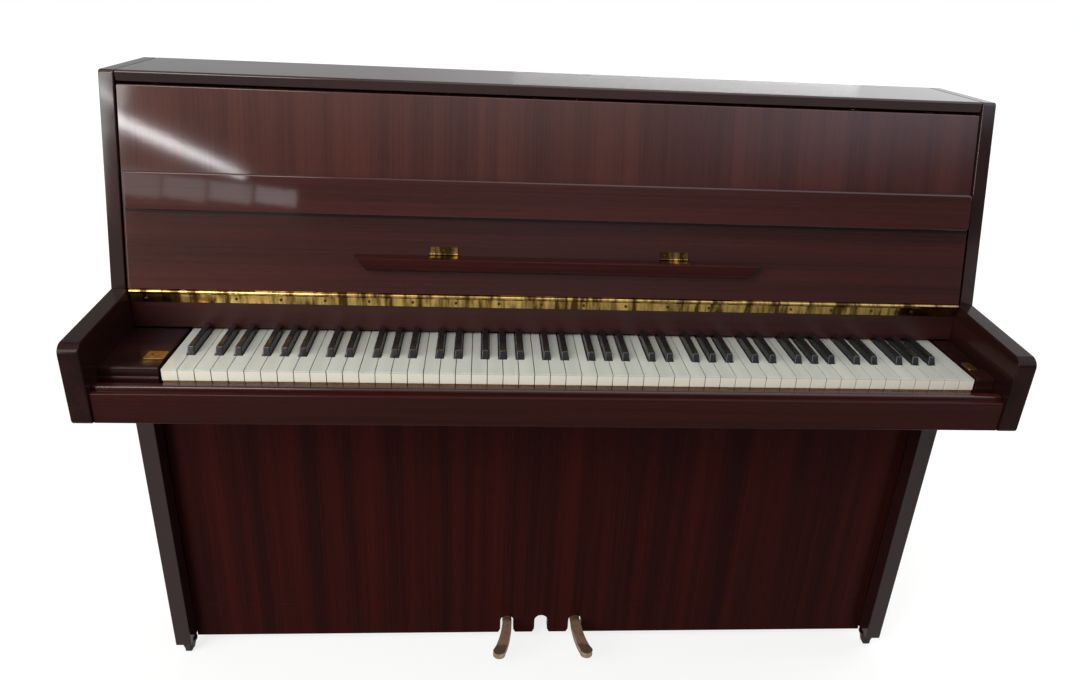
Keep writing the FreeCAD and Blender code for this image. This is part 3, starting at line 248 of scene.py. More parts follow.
add(tree, "ShaderNodeOutputWorld", {0: whole.outputs[0]})
print("world:", world.name, "with", len(tree.nodes), "nodes")

# %% [markdown]
# Four broad, weak softboxes light the object at a plain level, one of them from behind. They stand
# where the leaning front boards don't mirror them to the camera. A small one high at the front left
# draws a bright line along rounded edges. The others are there only for their reflections, which
# tell the eye that the boards are polished: a long, thin, bright oval, like a gap between curtains,
# draws the slanting streak on the upper panel, and a row of small dim panes lies along the nosing.

# %% Lamps
def softbox(name, place, target, size, watts, shape="RECTANGLE", along=None):
    """A flat lamp that faces its target, with its long side level or along a given way."""
    lamp = bpy.data.lights.new(name, "AREA")
    lamp.shape = shape
    lamp.size, lamp.size_y = size
    lamp.energy = watts
    holder = bpy.data.objects.new(name, lamp)
    back = (Vector(place) - Vector(target)).normalized()
    side = Vector(along) if along else Vector((-back.y, back.x, 0.0))
    side = (side - back * side.dot(back)).normalized()
    holder.matrix_world = standing(place, side, back.cross(side), back)
    bpy.context.scene.collection.objects.link(holder)


softbox("window_light", (-2.66, -2.09, 1.7), (-0.1, 0.0, 0.7), (2.1, 2.0), 80)
softbox("overhead_light", (0.4, -0.2, 3.4), (0.0, 0.0, 0.5), (2.4, 1.6), 15)
softbox("right_light", (3.4, 0.9, 1.7), (0.0, 0.0, 0.6), (1.8, 1.8), 45)
softbox("back_light", (0.9, 3.2, 0.75), (0.0, 0.2, 0.55), (1.8, 1.0), 50)
softbox("window_top", (-1.36, -2.2, 2.72), (-0.4, 0.0, 0.7), (0.84, 0.95), 27)
softbox("curtain_gap", (-1.668, -2.2, 1.762), (-0.68, 0.02, 1.02), (1.16, 0.046), 2.9,
        shape="ELLIPSE", along=(0.917, 0.0, -0.385))
PANES, PANE_STEP, PANE_DROP = 5, 0.185, 0.012
for number in range(PANES):
    across, drop = -1.72 + PANE_STEP * number, PANE_DROP * number
    softbox("window_pane_%d" % (number + 1), (across, -2.2, 1.50 - drop), (across + 0.9, -0.04, 0.92),
            (0.165, 0.115 - drop), 0.1)

# %% [markdown]
# ## Lacquered mahogany
# The case is veneered in ribbon-striped mahogany, stained a dark red-brown and sprayed with
# polyester lacquer that is rubbed to a mirror. The eye gets broad ribbons some centimetres wide that
# are a touch redder and lighter, fine streaks of a few millimetres, and short pore marks, all along
# the grain and all close in tone under the stain, then one smooth clear surface with a very slight
# orange peel. The grain runs upright on panels and sides and lengthwise on lid, rails, fallboard and
# arms. A veneer is flat, so the pattern is drawn across one direction only and runs straight through
# the board. Upper boards are rubbed brightest, and the low ones, which nobody polishes, are duller.

# %% Mahogany finish
# Each layer of the figure: width and length in mm, noise detail, and its share of the whole.
RIBBONS, STREAKS, PORES = (34, 1900, 1.0, 0.50), (3.4, 420, 2.0, 0.34), (1.7, 30, 1.0, 0.16)


def mahogany(name, along, across, dark, light_tone, rough, gloss, coat=0.0):
    material, tree, shader, place = start_finish(
        name, Roughness=rough, Specular_IOR_Level=gloss, Coat_Weight=coat)
    figure = 0.0
    for width, length, detail, weight in (RIBBONS, STREAKS, PORES):
        sizes = {**dict.fromkeys(across, width), along: length}
        scale = [1 / (sizes[axis] * MM) if axis in sizes else 0.0 for axis in "XYZ"]
        where = add(tree, "ShaderNodeMapping", {0: place, 3: scale})
        layer = add(tree, "ShaderNodeTexNoise",
                    {0: where.outputs[0], "Scale": 1.0, "Detail": detail, "Roughness": 0.5})
        figure = add(tree, "ShaderNodeMath", {0: layer.outputs[0], 1: weight, 2: figure},
                     operation="MULTIPLY_ADD").outputs[0]
    ramp = add(tree, "ShaderNodeValToRGB", {0: figure}, stops=((0.40, dark), (0.61, light_tone)))
    tree.links.new(ramp.outputs[0], shader.inputs["Base Color"])
    peel = add(tree, "ShaderNodeTexNoise", {0: place, "Scale": 1 / (16 * MM), "Detail": 1.0})
    skin = add(tree, "ShaderNodeBump", {"Strength": 0.06, "Distance": 0.25 * MM, "Height": peel.outputs[0]})
    tree.links.new(skin.outputs[0], shader.inputs["Normal"])
    return material


panel_wood = mahogany("mahogany_lacquer_upper_panel", "Z", "X", "#341512", "#45201a", 0.07, 0.5)
side_wood = mahogany("mahogany_lacquer_sides", "Z", "Y", "#2c1210", "#431e19", 0.12, 0.4)
leaf_wood = mahogany("mahogany_lacquer_fallboard", "X", "Z", "#28110f", "#3c1916", 0.09, 0.4)
nosing_wood = mahogany("mahogany_lacquer_nosing", "X", "Z", "#28110f", "#3c1916", 0.05, 0.4)
# The ledge's colour is set darker than the fallboard's, which paints in the shade on its front face.
ledge_wood = mahogany("mahogany_lacquer_ledge_painted_shade", "X", "YZ", "#220d0c", "#341412", 0.12, 0.10)
lid_wood = mahogany("mahogany_lacquer_lid", "X", "Y", "#211010", "#2e1815", 0.12, 0.28, coat=0.3)
board_wood = mahogany("mahogany_lacquer_name_board", "X", "Z", "#26110f", "#371916", 0.34, 0.35)
rail_wood = mahogany("mahogany_lacquer_rails", "X", "Z", "#240d0b", "#35130f", 0.16, 0.09)
arm_wood = mahogany("mahogany_lacquer_arms", "Y", "XZ", "#190c0a", "#28120f", 0.14, 0.10)
slip_wood = mahogany("mahogany_lacquer_key_slip", "X", "Z", "#240d0b", "#35130f", 0.10, 0.45)
# The key blocks' colour is set nearly black, darker than the other boards, which paints in the shade that the
# arms cast on them.
block_wood = mahogany("mahogany_lacquer_key_blocks_painted_shade", "X", "YZ", "#1a0c0b", "#2a1411", 0.16, 0.12)
# The low boards' colour is set darker than the upper panel's, which paints in the shade under the key bed.
low_wood = mahogany("mahogany_lacquer_low_boards_painted_shade", "Z", "X", "#230c0a", "#37110e", 0.20, 0.035)
print("lacquered woods:", [m.name for m in bpy.data.materials if m.name.startswith("mahogany")])

# %% [markdown]
# The sides have veneer on their outer faces only. Their front edges and inner faces are stained
# nearly black under the lacquer, which frames the front panels. The stain is mixed over the veneer's
# colour wherever a point lies inside the outer face.

# %% Dark edges of the side boards
def stain_and_painted_shade(material, mask, colour):
    """Mix a colour over a finish's colour where a mask says so: a real stain on the sides, painted shade on
    the leaf and the hinges.
    """
    tree = material.node_tree
    base = tree.nodes["Principled BSDF"].inputs["Base Color"]
    tone = add(tree, "ShaderNodeMix", {0: mask, 6: base.links[0].from_socket, 7: lin(colour)},
               data_type="RGBA")
    tree.links.new(tone.outputs[2], base)


tree = side_wood.node_tree
place = add(tree, "ShaderNodeTexCoord").outputs["Object"]
sideways = add(tree, "ShaderNodeSeparateXYZ", {0: place}).outputs["X"]
outwards = add(tree, "ShaderNodeMath", {0: sideways}, operation="ABSOLUTE").outputs[0]
outer_face = cad_box[1][0]
stain_end, veneer_start = outer_face - 1.2 * MM, outer_face - 0.4 * MM
inner = add(tree, "ShaderNodeMapRange", {0: outwards, 1: stain_end, 2: veneer_start, 3: 1.0, 4: 0.0})
stain_and_painted_shade(side_wood, inner.outputs[0], "#241110")
print("outer faces at x = ±%.3f m" % outer_face)

# %% [markdown]
# Just under the nosing strip the leaf is painted dark: a painted shadow of the strip. It is drawn on the
# leaf's outer face only: one measure runs up the leaning leaf to the strip's lower edge, the other runs out
# through its thickness.

# %% Painted shadow under the nosing
LEAN = math.radians(14.4)
up_leaf = Vector((0, math.sin(LEAN), math.cos(LEAN)))
off_leaf = Vector((0, -math.cos(LEAN), math.sin(LEAN)))
edge = min(v.co.dot(up_leaf) for v in nodes["fallboard_nosing"].data.vertices)
face = max(v.co.dot(off_leaf) for v in nodes["fallboard"].data.vertices)
line_start, line_full = edge - 6 * MM, edge - 2 * MM
skin_start, skin_full = face - 2.5 * MM, face - 1.5 * MM
tree = leaf_wood.node_tree
place = add(tree, "ShaderNodeTexCoord").outputs["Object"]
rise = add(tree, "ShaderNodeVectorMath", {0: place, 1: up_leaf}, operation="DOT_PRODUCT").outputs["Value"]
depth = add(tree, "ShaderNodeVectorMath", {0: place, 1: off_leaf}, operation="DOT_PRODUCT").outputs["Value"]
below = add(tree, "ShaderNodeMapRange", {0: rise, 1: line_start, 2: line_full, 3: 0.0, 4: 1.0},
            interpolation_type=SMOOTH)
outer = add(tree, "ShaderNodeMapRange", {0: depth, 1: skin_start, 2: skin_full})
painted_shadow_line = add(tree, "ShaderNodeMath", {0: below.outputs[0], 1: outer.outputs[0]}, operation="MULTIPLY")
# Painted shadow: the leaf's colour goes near black in a band just below the nosing strip.
stain_and_painted_shade(leaf_wood, painted_shadow_line.outputs[0], "#060303")
print("dark line from %.1f mm up the leaf" % (edge / MM))

# %% [markdown]
# ## Plain woods and felt
# Inside and behind, wood is left bare. The back frame is planed pine, the key bed beech, the keys'
# sticks are limewood and the action is maple. The soundboard is varnished spruce with straight fine
# grain. Bare wood is dull, and its grain is drawn a little coarser than life so that it still shows
# from a distance.

# %% Bare wood finish
def bare_wood(name, along, dark, pale, ring_mm, roughness):
    material, tree, shader, place = start_finish(name, Roughness=roughness)
    scale = [1 / (400 * MM) if axis == along else 1 / (ring_mm * MM) for axis in "XYZ"]
    where = add(tree, "ShaderNodeMapping", {0: place, 3: scale})
    grain = add(tree, "ShaderNodeTexNoise", {
        0: where.outputs[0], "Scale": 1.0, "Detail": 4.0, "Roughness": 0.55, "Distortion": 0.4})
    ramp = add(tree, "ShaderNodeValToRGB", {0: grain.outputs[0]}, stops=((0.34, dark), (0.66, pale)))
    tree.links.new(ramp.outputs[0], shader.inputs["Base Color"])
    relief = add(tree, "ShaderNodeBump", {"Strength": 0.25, "Distance": 0.2 * MM, "Height": grain.outputs[0]})
    tree.links.new(relief.outputs[0], shader.inputs["Normal"])
    return material


frame_pine = bare_wood("pine_planed", "Z", "#a9835a", "#c9a67a", 9, 0.62)
bed_beech = bare_wood("beech_key_bed", "X", "#6b4a33", "#8a6446", 7, 0.55)
spruce = bare_wood("spruce_varnished", "Z", "#b98d57", "#d8b27c", 4, 0.35)
maple = bare_wood("maple_action", "Z", "#a98a62", "#c8ab80", 5, 0.5)
stick_wood = bare_wood("limewood_key_stick", "Y", "#6d4c31", "#8c6848", 4, 0.6)
print("bare woods:", [m.name for m in (frame_pine, bed_beech, spruce, maple, stick_wood)])

# %% [markdown]
# Felt is pressed wool. It has no shine of its own, only a pale bloom at grazing angles from its loose
# fibres, which are drawn just coarse enough to show.

# %% Felt finish
dark_felt, tree, shader, place = start_finish(
    "felt_wool_dark_green", Roughness=0.95, Sheen_Weight=0.4, Sheen_Roughness=0.6)
fibres = add(tree, "ShaderNodeTexNoise", {0: place, "Scale": 1 / (0.9 * MM), "Detail": 5.0, "Roughness": 0.7})
ramp = add(tree, "ShaderNodeValToRGB", {0: fibres.outputs[0]}, stops=((0.3, "#101611"), (0.7, "#1e2820")))
tree.links.new(ramp.outputs[0], shader.inputs["Base Color"])
fuzz = add(tree, "ShaderNodeBump", {"Strength": 0.5, "Distance": 0.3 * MM, "Height": fibres.outputs[0]})
tree.links.new(fuzz.outputs[0], shader.inputs["Normal"])
print("felt:", dark_felt.name)

# %% [markdown]
# ## Metals
# The hinges are sheet brass, polished once and since dulled by hands and air, so their colour wanders between
# yellow and brown, and their shine is uneven. Their yellow and brown lie in narrow bands along the hinge,
# which also paint in the banded reflections of polished brass. The brass is painted browner towards the
# treble, which paints in the shade on the side away from the light at the front left. The pedals are cast
# brass, worn bright on top. The iron plate is sprayed with bronze paint. Casters are lacquered steel.

# %% Metal finishes
def metal_finish(name, dark, bright, patch_mm, rough_low, rough_high, metallic=1.0, stretch=1.0, soft=0.18):
    """A metal with patches of two tones, stretched over depth and height, dull where it is dark."""
    material, tree, shader, place = start_finish(name, Metallic=metallic)
    scale = [v / (patch_mm * MM) for v in (1.0, stretch, stretch)]
    where = add(tree, "ShaderNodeMapping", {0: place, 3: scale})
    patches = add(tree, "ShaderNodeTexNoise",
                  {0: where.outputs[0], "Scale": 1.0, "Detail": 4.0, "Roughness": 0.6}).outputs[0]
    ramp = add(tree, "ShaderNodeValToRGB", {0: patches}, stops=((0.5 - soft, dark), (0.5 + soft, bright)))
    tree.links.new(ramp.outputs[0], shader.inputs["Base Color"])
    shine = add(tree, "ShaderNodeMapRange", {0: patches, 1: 0.3, 2: 0.7, 3: rough_high, 4: rough_low})
    tree.links.new(shine.outputs[0], shader.inputs["Roughness"])
    return material


# The hinge brass has narrow, high-contrast bands of dark and bright tone along its length. They are partly
# uneven wear, and partly a painted reflection of the banded mirror images in polished brass.
hinge_brass = metal_finish("brass_sheet_polished", "#543d1c", "#d8b268", 15, 0.05, 0.15,
                           stretch=0.15, soft=0.09)
plate_brass = metal_finish("brass_plate_satin", "#7d5f33", "#b99350", 9, 0.28, 0.42)
# The screws' brass is coloured dark brown, so that each head reads as a dark dot.
screw_brass = metal_finish("brass_screws_dark_brown", "#33281a", "#6a5433", 3, 0.3, 0.5)
pedal_brass = metal_finish("brass_cast_worn", "#8d725a", "#cdb095", 12, 0.42, 0.58)
plate_bronze = metal_finish("bronze_paint_on_iron", "#7d6132", "#a5844a", 60, 0.4, 0.55, metallic=0.5)
caster_steel = metal_finish("caster_lacquered_steel", "#2c2620", "#57493a", 8, 0.35, 0.5)
bracket_steel = metal_finish("grey_cast_action_metal", "#55554f", "#78776f", 14, 0.5, 0.65, metallic=0.6)

tree = hinge_brass.node_tree
place = add(tree, "ShaderNodeTexCoord").outputs["Object"]
sideways = add(tree, "ShaderNodeSeparateXYZ", {0: place}).outputs["X"]
# Painted shade: the brass is mixed towards dark brown towards the treble, away from the light at the front
# left.
treble_side_shade = add(tree, "ShaderNodeMapRange", {0: sideways, 1: -0.1, 2: 0.6, 3: 0.0, 4: 0.55})
stain_and_painted_shade(hinge_brass, treble_side_shade.outputs[0], "#33240f")
metals = (hinge_brass, plate_brass, screw_brass, pedal_brass, plate_bronze, caster_steel, bracket_steel)
print("metals:", [m.name for m in metals])

# %% [markdown]
# ## Key plastics and rubber
# The white covers are moulded acrylic, a cool off-white with a soft polish and the faintest change of tone
# from key to key. Their front faces, which are all that a cover has below a set height, are painted lighter
# and creamier than the tops. This stands in for the stronger light that falls on the fronts and the weaker
# light on the tops. The sharps are black phenolic resin, which fingers rub smoother in places. The wheels'
# rubber is dull and a little dusty.

# %% Key and rubber finishes
KEY_WIDTH = 0.0235
LIT_FRONTS_BELOW = 0.6975
ivory_white, tree, shader, place = start_finish(
    "acrylic_key_white", Roughness=0.22, Specular_IOR_Level=0.45)
cell = add(tree, "ShaderNodeMapping", {0: place, 3: (1 / KEY_WIDTH, 0.0, 0.0)})
tone = add(tree, "ShaderNodeTexNoise", {0: cell.outputs[0], "Scale": 1.0, "Detail": 0.0})
ramp = add(tree, "ShaderNodeValToRGB", {0: tone.outputs[0]}, stops=((0.3, "#bcbfb6"), (0.7, "#c9cbc2")))
height = add(tree, "ShaderNodeSeparateXYZ", {0: place}).outputs["Z"]
# Painted light: below this height the covers take a lighter, creamier colour than the dimmer tops.
lit_front_mask = add(tree, "ShaderNodeMath", {0: height, 1: LIT_FRONTS_BELOW}, operation="LESS_THAN")
shade = add(tree, "ShaderNodeMix", {0: lit_front_mask.outputs[0], 6: ramp.outputs[0], 7: lin("#e2dccb")},
            data_type="RGBA")
tree.links.new(shade.outputs[2], shader.inputs["Base Color"])

sharp_black, tree, shader, place = start_finish("phenolic_key_black")
rub = add(tree, "ShaderNodeTexNoise", {0: place, "Scale": 1 / (18 * MM), "Detail": 4.0})
worn = add(tree, "ShaderNodeMapRange", {0: rub.outputs[0], 1: 0.3, 2: 0.7, 3: 0.20, 4: 0.34})
tree.links.new(worn.outputs[0], shader.inputs["Roughness"])
ramp = add(tree, "ShaderNodeValToRGB", {0: rub.outputs[0]}, stops=((0.0, "#070708"), (1.0, "#131415")))
tree.links.new(ramp.outputs[0], shader.inputs["Base Color"])

rubber, tree, shader, place = start_finish("rubber_black_moulded", Roughness=0.75)
dust = add(tree, "ShaderNodeTexNoise", {0: place, "Scale": 1 / (3 * MM), "Detail": 3.0})
ramp = add(tree, "ShaderNodeValToRGB", {0: dust.outputs[0]}, stops=((0.0, "#121212"), (1.0, "#2a2928")))
tree.links.new(ramp.outputs[0], shader.inputs["Base Color"])
print("key plastics and rubber:", [m.name for m in (ivory_white, sharp_black, rubber)])

# %% [markdown]
# ## Finishes that change along a piece
# Three inner nodes hold more than one stuff: a hammer is a maple shank with a felt head, a damper is
# a maple lever with a felt pad, and the strings are steel in the treble and wound with copper in the
# bass. Their finishes switch by place on the piece, which moves with it.

# %% Two finishes on one piece
def two_finishes(name, first, second, second_rough, measure, metallic=0.0):
    """The first pair of tones, and the second wherever the measure is 1."""
    material, tree, shader, place = start_finish(name, Metallic=metallic)
    chosen = measure(tree, place)
    speckle = add(tree, "ShaderNodeTexNoise", {0: place, "Scale": 1 / (2.5 * MM), "Detail": 4.0}).outputs[0]
    shades = [add(tree, "ShaderNodeValToRGB", {0: speckle}, stops=((0.3, dark), (0.7, pale))).outputs[0]
              for dark, pale in (first, second)]
    mixed = add(tree, "ShaderNodeMix", {0: chosen, 6: shades[0], 7: shades[1]}, data_type="RGBA")
    tree.links.new(mixed.outputs[2], shader.inputs["Base Color"])
    rough = add(tree, "ShaderNodeMapRange", {0: chosen, 3: 0.5, 4: second_rough})
    tree.links.new(rough.outputs[0], shader.inputs["Roughness"])
    return material


print("a finish can now switch along its piece")

# %% [markdown]
# Each place below is a measure of the CAD piece: where the hammer's shank pivots and ends, how deep
# the damper's lever is, and how far back and how high the bass strings reach.

# %% Hammer, damper and string finishes
SHANK_PIVOT = (0.0, 0.088, 0.812)
SHANK_LEAN = math.radians(19.5)
SHANK_LENGTH = 0.1045
LEVER_BACK = 0.11545
BASS_DEPTH, BASS_HEIGHT = 0.1305, 0.94
MAPLE, STEEL = ("#a98a62", "#c8ab80"), ("#8b8c8e", "#b9babb")


def past_shank(tree, place):
    arm = add(tree, "ShaderNodeVectorMath", {0: place, 1: SHANK_PIVOT}, operation="SUBTRACT").outputs[0]
    way = (0.0, -math.sin(SHANK_LEAN), math.cos(SHANK_LEAN))
    reach = add(tree, "ShaderNodeVectorMath", {0: arm, 1: way}, operation="DOT_PRODUCT").outputs["Value"]
    return add(tree, "ShaderNodeMath", {0: reach, 1: SHANK_LENGTH}, operation="GREATER_THAN").outputs[0]


def behind_lever(tree, place):
    depth = add(tree, "ShaderNodeSeparateXYZ", {0: place}).outputs["Y"]
    return add(tree, "ShaderNodeMath", {0: depth, 1: LEVER_BACK}, operation="GREATER_THAN").outputs[0]


def bass_wire(tree, place):
    parts = add(tree, "ShaderNodeSeparateXYZ", {0: place}).outputs
    shallow = add(tree, "ShaderNodeMath", {0: parts["Y"], 1: BASS_DEPTH}, operation="LESS_THAN").outputs[0]
    low = add(tree, "ShaderNodeMath", {0: parts["Z"], 1: BASS_HEIGHT}, operation="LESS_THAN").outputs[0]
    return add(tree, "ShaderNodeMath", {0: shallow, 1: low}, operation="MULTIPLY").outputs[0]


hammer_finish = two_finishes("maple_and_hammer_felt", MAPLE, ("#cfc8b8", "#e6e0d2"), 0.95, past_shank)
damper_finish = two_finishes("maple_and_damper_felt", MAPLE, ("#bdb7aa", "#dad4c7"), 0.95, behind_lever)
wire_finish = two_finishes("steel_and_copper_wound_wire", STEEL, ("#8a4a2c", "#b56a42"), 0.4, bass_wire,
                           metallic=1.0)
print("mixed finishes:", [m.name for m in (hammer_finish, damper_finish, wire_finish)])

# %% [markdown]
# ## Finishes on the CAD pieces
# Pieces that keep their CAD shape get their finish here. Which finish a piece has follows from what
# it is made of on the real piano. Keys, wippens, hammers and dampers come in four groups, every
# fourth note in the same one, because each group moves as one body.

# %% Dress the CAD nodes
GROUPS = (1, 2, 3, 4)


def each_group(name):
    return ["%s_%d" % (name, group) for group in GROUPS]


def dress(piece, material):
    piece.data.materials.clear()
    piece.data.materials.append(material)


hinge_leaves = ["fixed_hinge_leaves", "fallboard_hinge_leaves", "lid_hinge_leaves", "ledge_hinge_leaves"]
wheels = ["wheel_front_left", "wheel_front_right", "wheel_rear_left", "wheel_rear_right"]
finishes = {
    frame_pine: ["back_frame", "pin_block", "bottom_board"],
    bed_beech: ["keybed", "key_frame"],
    spruce: ["soundboard", "ribs_and_bridges"],
    maple: ["dowel_left", "dowel_right"] + each_group("wippens"),
    hammer_finish: each_group("hammers"),
    damper_finish: each_group("dampers"),
    wire_finish: ["strings_and_pins"],
    plate_bronze: ["iron_plate"],
    bracket_steel: ["action_frame", "pedal_brackets"],
    hinge_brass: hinge_leaves,
    plate_brass: ["key_block_plates"],
    pedal_brass: ["pedal_left", "pedal_right"],
    caster_steel: ["caster_brackets"],
    rubber: wheels,
}
for material, names in finishes.items():
    for name in names:
        dress(nodes[name], material)
print("dressed", sum(len(names) for names in finishes.values()), "nodes")

# %% [markdown]
# ## Modelling helpers
# Each new piece is made with the same hand tools. An operator acts on all that is selected, so
# everything is deselected first, and faces or edges are then picked by their place or by the way
# they face.

# %% Selecting and starting pieces
def alone(piece):
    if bpy.context.object and bpy.context.object.mode != "OBJECT":
        bpy.ops.object.mode_set(mode="OBJECT")
    bpy.ops.object.select_all(action="DESELECT")
    piece.select_set(True)
    bpy.context.view_layer.objects.active = piece


def pick(piece, test):
    """Select the faces whose middle and normal pass a test, in edit mode."""
    mesh = bmesh.from_edit_mesh(piece.data)
    for face in mesh.faces:
        face.select_set(False)
    for face in mesh.faces:
        if test(face.calc_center_median(), face.normal):
            face.select_set(True)
    bmesh.update_edit_mesh(piece.data)


def block(name, low, high):
    """A box to shape further, with its place in its mesh."""
    bpy.ops.object.select_all(action="DESELECT")
    middle = [(a + b) / 2 for a, b in zip(low, high)]
    bpy.ops.mesh.primitive_cube_add(size=1, location=middle, scale=[b - a for a, b in zip(low, high)])
    piece = bpy.context.object
    piece.name = name
    bpy.ops.object.transform_apply(location=True, rotation=True, scale=True)
    return piece


def turned(radius, length, middle, sides):
    """A round bar to shape further, with its place in its mesh."""
    bpy.ops.object.select_all(action="DESELECT")
    bpy.ops.mesh.primitive_cylinder_add(vertices=sides, radius=radius, depth=length, location=middle)
    bpy.ops.object.transform_apply(location=True, rotation=True, scale=True)
    return bpy.context.object


print("starting blocks and bars ready")

# %% [markdown]
# What repeats is modelled once and copied, each copy with its own mesh, and what belongs together is joined.
# Every sharp edge is then eased, the piece gets its finish and is told which body it rides on, and the CAD
# nodes that it stands for are hidden.

# %% Copying, joining, easing and placing
def copy_at(model, matrix):
    one = model.copy()
    one.data = model.data.copy()
    one.data.transform(matrix)
    bpy.context.scene.collection.objects.link(one)
    return one


def joined(pieces, name):
    bpy.ops.object.select_all(action="DESELECT")
    for piece in pieces:
        piece.select_set(True)
    bpy.context.view_layer.objects.active = pieces[0]
    bpy.ops.object.join()
    pieces[0].name = name
    return pieces[0]


def ease(piece, width, segments=2, angle=30):
    """Round the sharp edges, as sanding and lacquer do, and keep the flat faces flat to the light."""
    alone(piece)
    bevel = piece.modifiers.new("eased_edges", "BEVEL")
    bevel.width = width
    bevel.segments = segments
    bevel.limit_method = "ANGLE"
    bevel.angle_limit = math.radians(angle)
    bpy.ops.object.modifier_apply(modifier=bevel.name)
    bpy.ops.object.shade_smooth_by_angle(angle=math.radians(38))
    weighted = piece.modifiers.new("flat_face_shading", "WEIGHTED_NORMAL")
    weighted.keep_sharp = True
    bpy.ops.object.modifier_apply(modifier=weighted.name)


def place_piece(piece, body, material, stands_for=()):
    dress(piece, material)
    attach(piece, body)
    if stands_for:
        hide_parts(*stands_for)


print("copying, easing and placing ready")

# %% [markdown]
# ## Lacquered boards
# The real boards are sawn square, then their edges are eased to a millimetre or two and sprayed, and
# it is these soft edges that catch the light as thin bright lines. A merged copy of each CAD board
# keeps its exact shape and lets a bevel ease every sharp edge, which is quicker and truer than
# building each board again.

# %% Ease the case boards
def copied_board(node, name, width, material, segments=3):
    """A merged copy of a CAD board whose sharp edges are eased."""
    piece = nodes[node].copy()
    piece.data = nodes[node].data.copy()
    piece.name = name
    for key in list(piece.keys()):
        del piece[key]
    piece.parent = None
    bpy.context.scene.collection.objects.link(piece)
    alone(piece)
    bpy.ops.object.mode_set(mode="EDIT")
    bpy.ops.mesh.select_all(action="SELECT")
    bpy.ops.mesh.remove_doubles(threshold=1e-5)
    bpy.ops.mesh.dissolve_limited(angle_limit=math.radians(1))
    bpy.ops.mesh.normals_make_consistent(inside=False)
    bpy.ops.object.mode_set(mode="OBJECT")
    ease(piece, width, segments)
    body = nodes[node]["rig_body"]
    place_piece(piece, body, material, [node])
    return piece


boards = {
    "side_left": ("side_left_board", 1.6, side_wood),
    "side_right": ("side_right_board", 1.6, side_wood),
    "arm_left": ("arm_left_cheek", 2.2, arm_wood),
    "arm_right": ("arm_right_cheek", 2.2, arm_wood),
    "lid": ("lid_board", 1.2, lid_wood),
    "upper_panel": ("upper_panel_board", 1.0, panel_wood),
    "name_board": ("name_board_strip", 0.8, board_wood),
    "key_slip": ("key_slip_moulding", 1.8, slip_wood),
    "keybed_rail": ("front_rail", 1.4, rail_wood),
    "lower_panel": ("lower_panel_board", 1.2, low_wood),
    "toe_rail": ("toe_rail_board", 0.8, low_wood),
    "fallboard": ("fallboard_leaf", 1.2, leaf_wood),
    "fallboard_nosing": ("fallboard_nosing_strip", 0.8, nosing_wood),
    "music_ledge": ("music_ledge_shelf", 0.8, ledge_wood),
    "key_blocks": ("key_block_pair", 1.0, block_wood),
}
for node, (name, width, material) in boards.items():
    board = copied_board(node, name, width * MM, material)
    print(name, len(board.data.polygons), "faces")

# %% Ease the pedals and brass plates
for side in ("left", "right"):
    pedal = copied_board("pedal_" + side, "pedal_%s_casting" % side, 3.2 * MM, pedal_brass, segments=4)
    print(pedal.name, len(pedal.data.polygons), "faces")
plates = copied_board("key_block_plates", "key_block_plate_pair", 0.4 * MM, plate_brass)
print(plates.name, len(plates.data.polygons), "faces")

# %% [markdown]
# ## Where the keys are
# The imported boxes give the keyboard's ends, and 52 white keys share its width.

# %% Key pitch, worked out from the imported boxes
NOTES, WHITES = 88, 52
GAP, SHARP = 0.001, 0.0116
white_boxes = [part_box(name) for name in each_group("white_keys")]
keys_left = min(low[0] for low, high in white_boxes) - GAP / 2
keys_right = max(high[0] for low, high in white_boxes) + GAP / 2
PITCH = (keys_right - keys_left) / WHITES
KEY_FRONT, STICK_LOW = white_boxes[0][0][1:]
KEY_REAR = white_boxes[0][1][1]
print("key pitch %.2f mm, fronts at y %.1f mm" % (PITCH / MM, KEY_FRONT / MM))

# %% [markdown]
# The lowest note is an A, nine tones and five white keys above a C, so octaves are counted from
# there. The five tones from C to E share three white keys' width evenly and the seven from F to B
# share four, which is why some sharps sit off the crack between their whites.

# %% Notes, sharps and the edges of a white key
FIRST_TONE, FIRST_WHITE, OCTAVE_WHITES = 9, 5, 7
SHARP_TONES = (1, 3, 6, 8, 10)


def group_of(note):
    return note % len(GROUPS) + 1


def tone_of(note):
    return (note + FIRST_TONE) % 12


def octave_start(note):
    return keys_left + ((note + FIRST_TONE) // 12) * OCTAVE_WHITES * PITCH - FIRST_WHITE * PITCH


def note_middle(note):
    tone = tone_of(note)
    if tone < 5:
        return octave_start(note) + (tone + 0.5) * 3 * PITCH / 5
    return octave_start(note) + 3 * PITCH + (tone - 4.5) * 4 * PITCH / 7


def is_sharp(note):
    return 0 <= note < NOTES and tone_of(note) in SHARP_TONES


def white_edges(note):
    """The left and right edges of a white key's head, and those of its tail."""
    order = tone_of(note) - sum(sharp < tone_of(note) for sharp in SHARP_TONES)
    left = octave_start(note) + order * PITCH + GAP / 2
    right = left + PITCH - GAP
    tail_left = note_middle(note - 1) + SHARP / 2 + GAP if is_sharp(note - 1) else left
    tail_right = note_middle(note + 1) - SHARP / 2 - GAP if is_sharp(note + 1) else right
    return left, right, tail_left, tail_right


print("sharps among the notes:", sum(is_sharp(note) for note in range(NOTES)))

# %% [markdown]
# ## White keys
# A white key is a limewood stick with a moulded cover. The cover's head is as wide as the key, its
# tail is notched to pass the sharps, and its front hangs down over the end of the stick. Each of the
# seven shapes comes from the same steps: start a block for the head, cut it where the tail's sides
# run, pull the rear face back into the tail, and pull the front edge down into the lip. A hair of
# space stays between cover and stick.

# %% Shape one layer of a white key
KEY_TOP, STICK_TOP = 0.700, 0.6976
HEAD, COVER, FRONT_WALL, LIP = 0.049, 0.150, 0.002, 0.0156
STICK_CLEAR, HAIR = 1e-4, 1e-5


